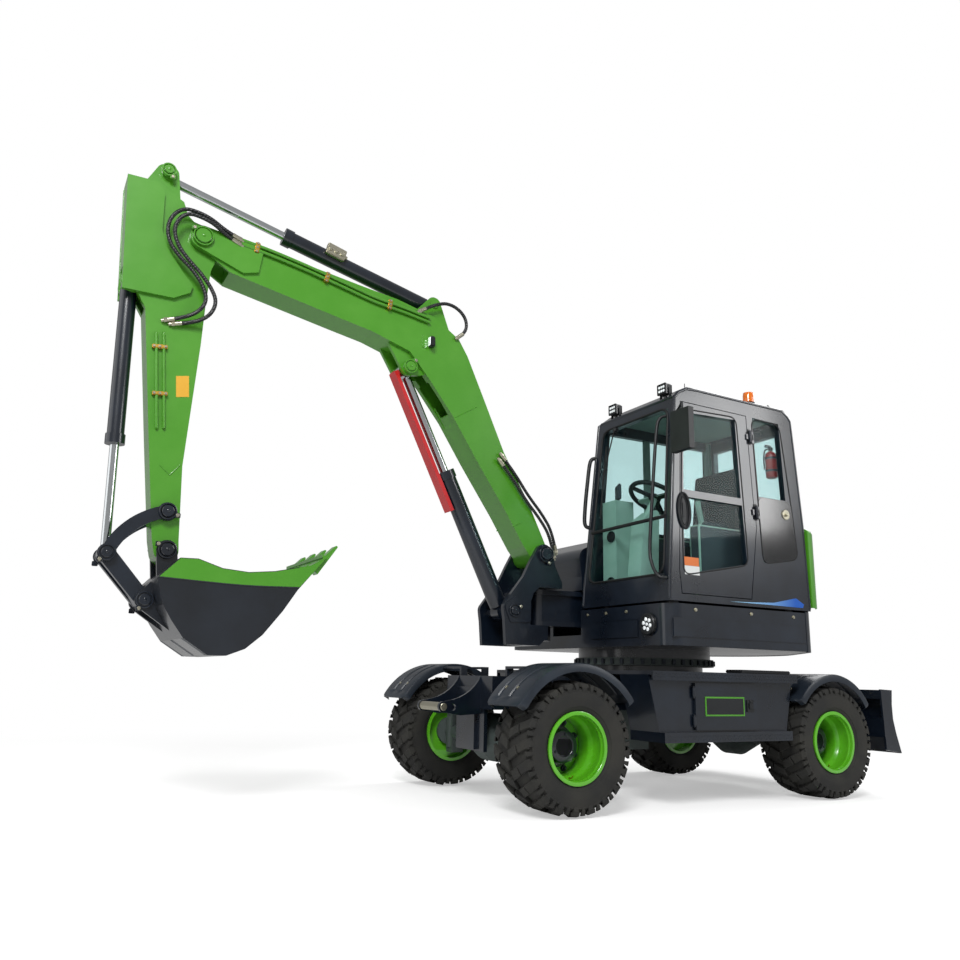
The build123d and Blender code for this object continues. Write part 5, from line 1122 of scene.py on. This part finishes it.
def make_toolbox_lock():
    y = LOCKER_FACE_Y
    with piece("toolbox_lock", SHELL, "locker_door", "mirror_shell") as lock:
        add_box(lock, (-361, y, 602), (-291, y + 10, 681), 4)
        add_box(lock, (-345, y + 8, 622), (-307, y + 18, 662))
        add_lathe(lock, y_axis(-326, y + 8, 672), [(0, 9), (6, 9), (8, 6)], 16)


def make_deck_fittings():
    with piece("deck_edge_tread", NAVY, "undercarriage", "navy_paint") as tread:
        for z, start, stop in TREAD_ROWS:
            for i, x in enumerate(range(start, stop, TREAD_PITCH)):
                lean = 7 if i % 2 else -7
                lozenge = [(x - 8, z - lean), (x - 1, z + 3 - lean * 0.2), (x + 8, z + lean),
                           (x + 1, z - 3 + lean * 0.2)]
                add_plate(tread, lozenge, TREAD_Y, TREAD_Y + 2.2)
    with piece("tongue_bright_bar", ZINC, "undercarriage") as bar:
        x, z = TONGUE_BAR
        add_rod(bar, (x, -142.5, z), (x, 142.5, z), 28.5, sides=40, chamfer=1.0)
        for side in (1, -1):
            add_lathe(bar, y_axis(x, side * 164.5, z, side), [(0, 24), (7, 24), (9, 21)], 32)


# Boom and arm: blank plate, weld beads and valve block
ARM_PLATE = [(3464, 2590), (3387, 2606), (3373, 2469), (3450, 2454)]
ARM_BEAD = [(3499, 2009), (3438, 1955), (3384, 2026)]
BOOM_SEAMS = ([(1500, 2654), (1410, 2712), (1316, 2772)], [(990, 1892), (950, 1913), (914, 1932)])


def make_arm_fittings():
    with piece("arm_blank_yellow_plate", YELLOW, "arm") as plate:
        add_plate(plate, ARM_PLATE, -65.2, -62.8)
    with piece("arm_weld_beads", GREEN, "arm", "green_paint") as beads:
        for side in (1, -1):
            y = BOOM_Y + side * (ARM_HALF_WIDTH + 0.5)
            add_pipe(beads, [(x, y, z) for x, z in ARM_BEAD], 4.5, 8)
    with piece("boom_weld_seams", GREEN, "boom", "green_paint") as seams:
        for side in (1, -1):
            y = BOOM_Y + side * (BOOM_HALF_WIDTH - 0.5)
            for line in BOOM_SEAMS:
                add_pipe(seams, [(x, y, z) for x, z in line], 4.0, 8)
    make_boxes("boom_lamp_bracket", "boom_lamp_case", "boom_lamp_light")
    with piece("arm_cylinder_valve_block", ZINC, "arm_cylinder_barrel") as block:
        seat = side_frame(2478, 3730, -100, (0.968, 0.25))
        add_box(block, (-74, -44, -6), (70, 40, 34), 5, seat)
        for x in (-44, 0, 44):
            add_lathe(block, seat @ Matrix.Translation((x, 0, 33)), [(0, 15), (10, 15), (14, 11)], 6)
        add_box(block, (-92, -12, -2), (-70, 12, 22), 3, seat)


# Pieces that are plain boxes: finish, body, slot, then each box as (low corner, high corner, bevel)
BOX_PIECES = {
    "cab_pale_lining": (LINING, "upper", None,
        ((-840, 110, 2782), (70, 905, 2806), 10), ((-905, 62, 1380), (-846, 132, 2790), 12),
        ((-905, 880, 1380), (-868, 930, 2790), 8), ((-250, 62, 2100), (-180, 88, 2790), 10),
        ((-900, 120, 1380), (-868, 900, 1960), 10)),
    "skirt_raised_bands": (NAVY, "upper", "navy_paint",
        ((-872, 990, 1078), (396, 1008, 1206), 9), ((404, 150, 1078), (424, 690, 1206), 9)),
    "toolbox_blank_plate": (GREEN, "locker_door", "green_paint",
        ((-273, LOCKER_FACE_Y + 1, 575), (86, LOCKER_FACE_Y + 5, 701), 2.0)),
    "toolbox_plate_face": (SHELL, "locker_door", "mirror_shell",
        ((-262, LOCKER_FACE_Y + 4.6, 586), (75, LOCKER_FACE_Y + 6.2, 690), 1.5)),
    "deck_black_cover": (SHELL, "undercarriage", "mirror_shell", ((-770, 780, 858.5), (-280, 930, 884), 6)),
    "boom_lamp_bracket": (GREEN, "boom", "green_paint",
        ((1700, -41, 3150), (1706, -8, 3230), 2), ((1700, -44, 3140), (1790, -38, 3240), 2)),
    "boom_lamp_case": (SHELL, "boom", "mirror_shell", ((1706, -38, 3148), (1744, 14, 3228), 8)),
    # The boom lamp's face takes the reflector finish whose emission is a painted glow.
    "boom_lamp_light": (DIODE_WITH_PAINTED_GLOW, "boom", None, ((1743, -30, 3156), (1748, 6, 3220), 2)),
}


def make_boxes(*names):
    for name in names:
        finish, body, slot, *boxes = BOX_PIECES[name]
        with piece(name, finish, body, slot) as shape:
            for box in boxes:
                add_box(shape, *box)


# Camera, light and floor: the camera's place is in the drawing's millimetres, its turns in radians
CAMERA_PLACE = (4218.8, 5237.6, 788.1)
CAMERA_YAW = 3.6499
CAMERA_PITCH = 0.2311
CAMERA_ROLL = 0.0224
CAMERA_LENS = 31.56
STAGE_CENTRE = (0.0, 0.0, 1.6)
# What lights the machine is dimmer than the pure white that the camera sees
WORLD_LIGHT = 0.36
FAR_FLOOR_LIGHT = 0.4
NEAR_FLOOR_LIFT = 0.42
FLOOR_GREY = (0.84, 0.84, 0.84, 1.0)
# The floor turns white between these distances in metres
FLOOR_FADE = (3.2, 7.5)
# Each soft box is (name, place in metres, watts, size in metres)
SOFT_BOXES = (("key_softbox", (5.4, 7.0, 8.0), 760.0, 3.2),
              ("fill_softbox", (8.0, -1.0, 4.0), 110.0, 6.0),
              ("back_softbox", (-7.0, -2.0, 7.0), 300.0, 5.0),
              ("side_softbox", (-6.0, 6.0, 4.6), 120.0, 2.4))


def set_camera():
    yaw, pitch, roll = CAMERA_YAW, CAMERA_PITCH, CAMERA_ROLL
    forward = Vector((math.sin(yaw) * math.cos(pitch), math.cos(yaw) * math.cos(pitch), math.sin(pitch)))
    level = Vector((math.cos(yaw), -math.sin(yaw), 0.0))
    above = level.cross(forward)
    right = level * math.cos(roll) + above * math.sin(roll)
    up = above * math.cos(roll) - level * math.sin(roll)
    data = bpy.data.cameras.new("photo_camera")
    data.lens = CAMERA_LENS
    data.sensor_width = 36.0
    data.clip_end = 100.0
    view = bpy.data.objects.new("photo_camera", data)
    bpy.context.collection.objects.link(view)
    turn = Matrix((right, up, -forward)).transposed()
    view.matrix_world = Matrix.Translation(at(*CAMERA_PLACE)) @ turn.to_4x4()
    bpy.context.scene.camera = view


def hang_soft_boxes():
    for name, place, watts, size in SOFT_BOXES:
        data = bpy.data.lights.new(name, "AREA")
        data.energy = watts
        data.size = size
        light = bpy.data.objects.new(name, data)
        bpy.context.collection.objects.link(light)
        light.location = place
        light.rotation_euler = (Vector(STAGE_CENTRE) - Vector(place)).to_track_quat("-Z", "Y").to_euler()


def light_world():
    """A studio that the camera sees as white, and that lights the machine less."""
    world = bpy.data.worlds.new("pale_studio")
    world.use_nodes = True
    tree = world.node_tree
    tree.nodes.clear()
    rays = add(tree, "LightPath")
    level = add(tree, "MapRange", Value=(rays, "Is Camera Ray"), i3=WORLD_LIGHT, i4=1.0)
    back = add(tree, "Background", Color=(1.0, 1.0, 1.0, 1.0), Strength=(level, "Result"))
    add(tree, "OutputWorld", Surface=(back, "Background"))
    bpy.context.scene.world = world


def lay_floor():
    """White floor that takes the machine's shadow and fades into the white studio further out."""
    bpy.ops.mesh.primitive_plane_add(size=60.0, location=(0.0, 0.0, 0.0))
    floor = bpy.context.object
    floor.name = "studio_floor"
    material, tree, place = new_material("pale_studio_floor")
    rays = add(tree, "LightPath")
    reach = add(tree, "VectorMath", {"operation": "LENGTH"}, i0=place)
    far = add(tree, "MapRange", {"interpolation_type": "SMOOTHSTEP"}, Value=(reach, "Value"),
              i1=FLOOR_FADE[0], i2=FLOOR_FADE[1], i3=0.0, i4=1.0)
    paper = add(tree, "BsdfDiffuse", Color=FLOOR_GREY)
    lift = add(tree, "Math", {"operation": "MULTIPLY"}, i0=(rays, "Is Camera Ray"),
               i1=NEAR_FLOOR_LIFT)
    glow = add(tree, "Emission", Strength=(lift, "Value"))
    near = add(tree, "AddShader", i0=(paper, "BSDF"), i1=(glow, "Emission"))
    far_level = add(tree, "MapRange", Value=(rays, "Is Camera Ray"), i3=FAR_FLOOR_LIGHT, i4=1.0)
    white = add(tree, "Emission", Strength=(far_level, "Result"))
    blended = add(tree, "MixShader", Fac=(far, "Result"), i1=(near, "Shader"),
                  i2=(white, "Emission"))
    floor.data.materials.append(finished(material, tree, blended, "Shader"))


finish_nodes()
make_wheels()
make_pin_caps()
make_bucket_trim()
make_pipes("boom", BOOM_HALF_WIDTH, 17, 11, BOOM_PIPES, BOOM_CLAMPS, (17, 38, 31, 29, 5))
make_pipes("arm", ARM_HALF_WIDTH, 14, 9, ARM_PIPES, ARM_CLAMPS, (13, 46, 26, 34, 4))
make_hoses()
make_fenders()
make_corner_panels()
make_stripe()
make_boxes("toolbox_blank_plate", "toolbox_plate_face")
make_cab_glazing_trim()
make_door_fittings()
make_cab_rails()
make_lamps()
make_boxes("cab_pale_lining")
make_cab_inside()
make_extinguisher()
make_skirt_fittings()
make_toolbox_lock()
make_boxes("deck_black_cover")
make_deck_fittings()
make_arm_fittings()
set_camera()
hang_soft_boxes()
light_world()
lay_floor()
bpy.context.scene.view_settings.view_transform = "Standard"
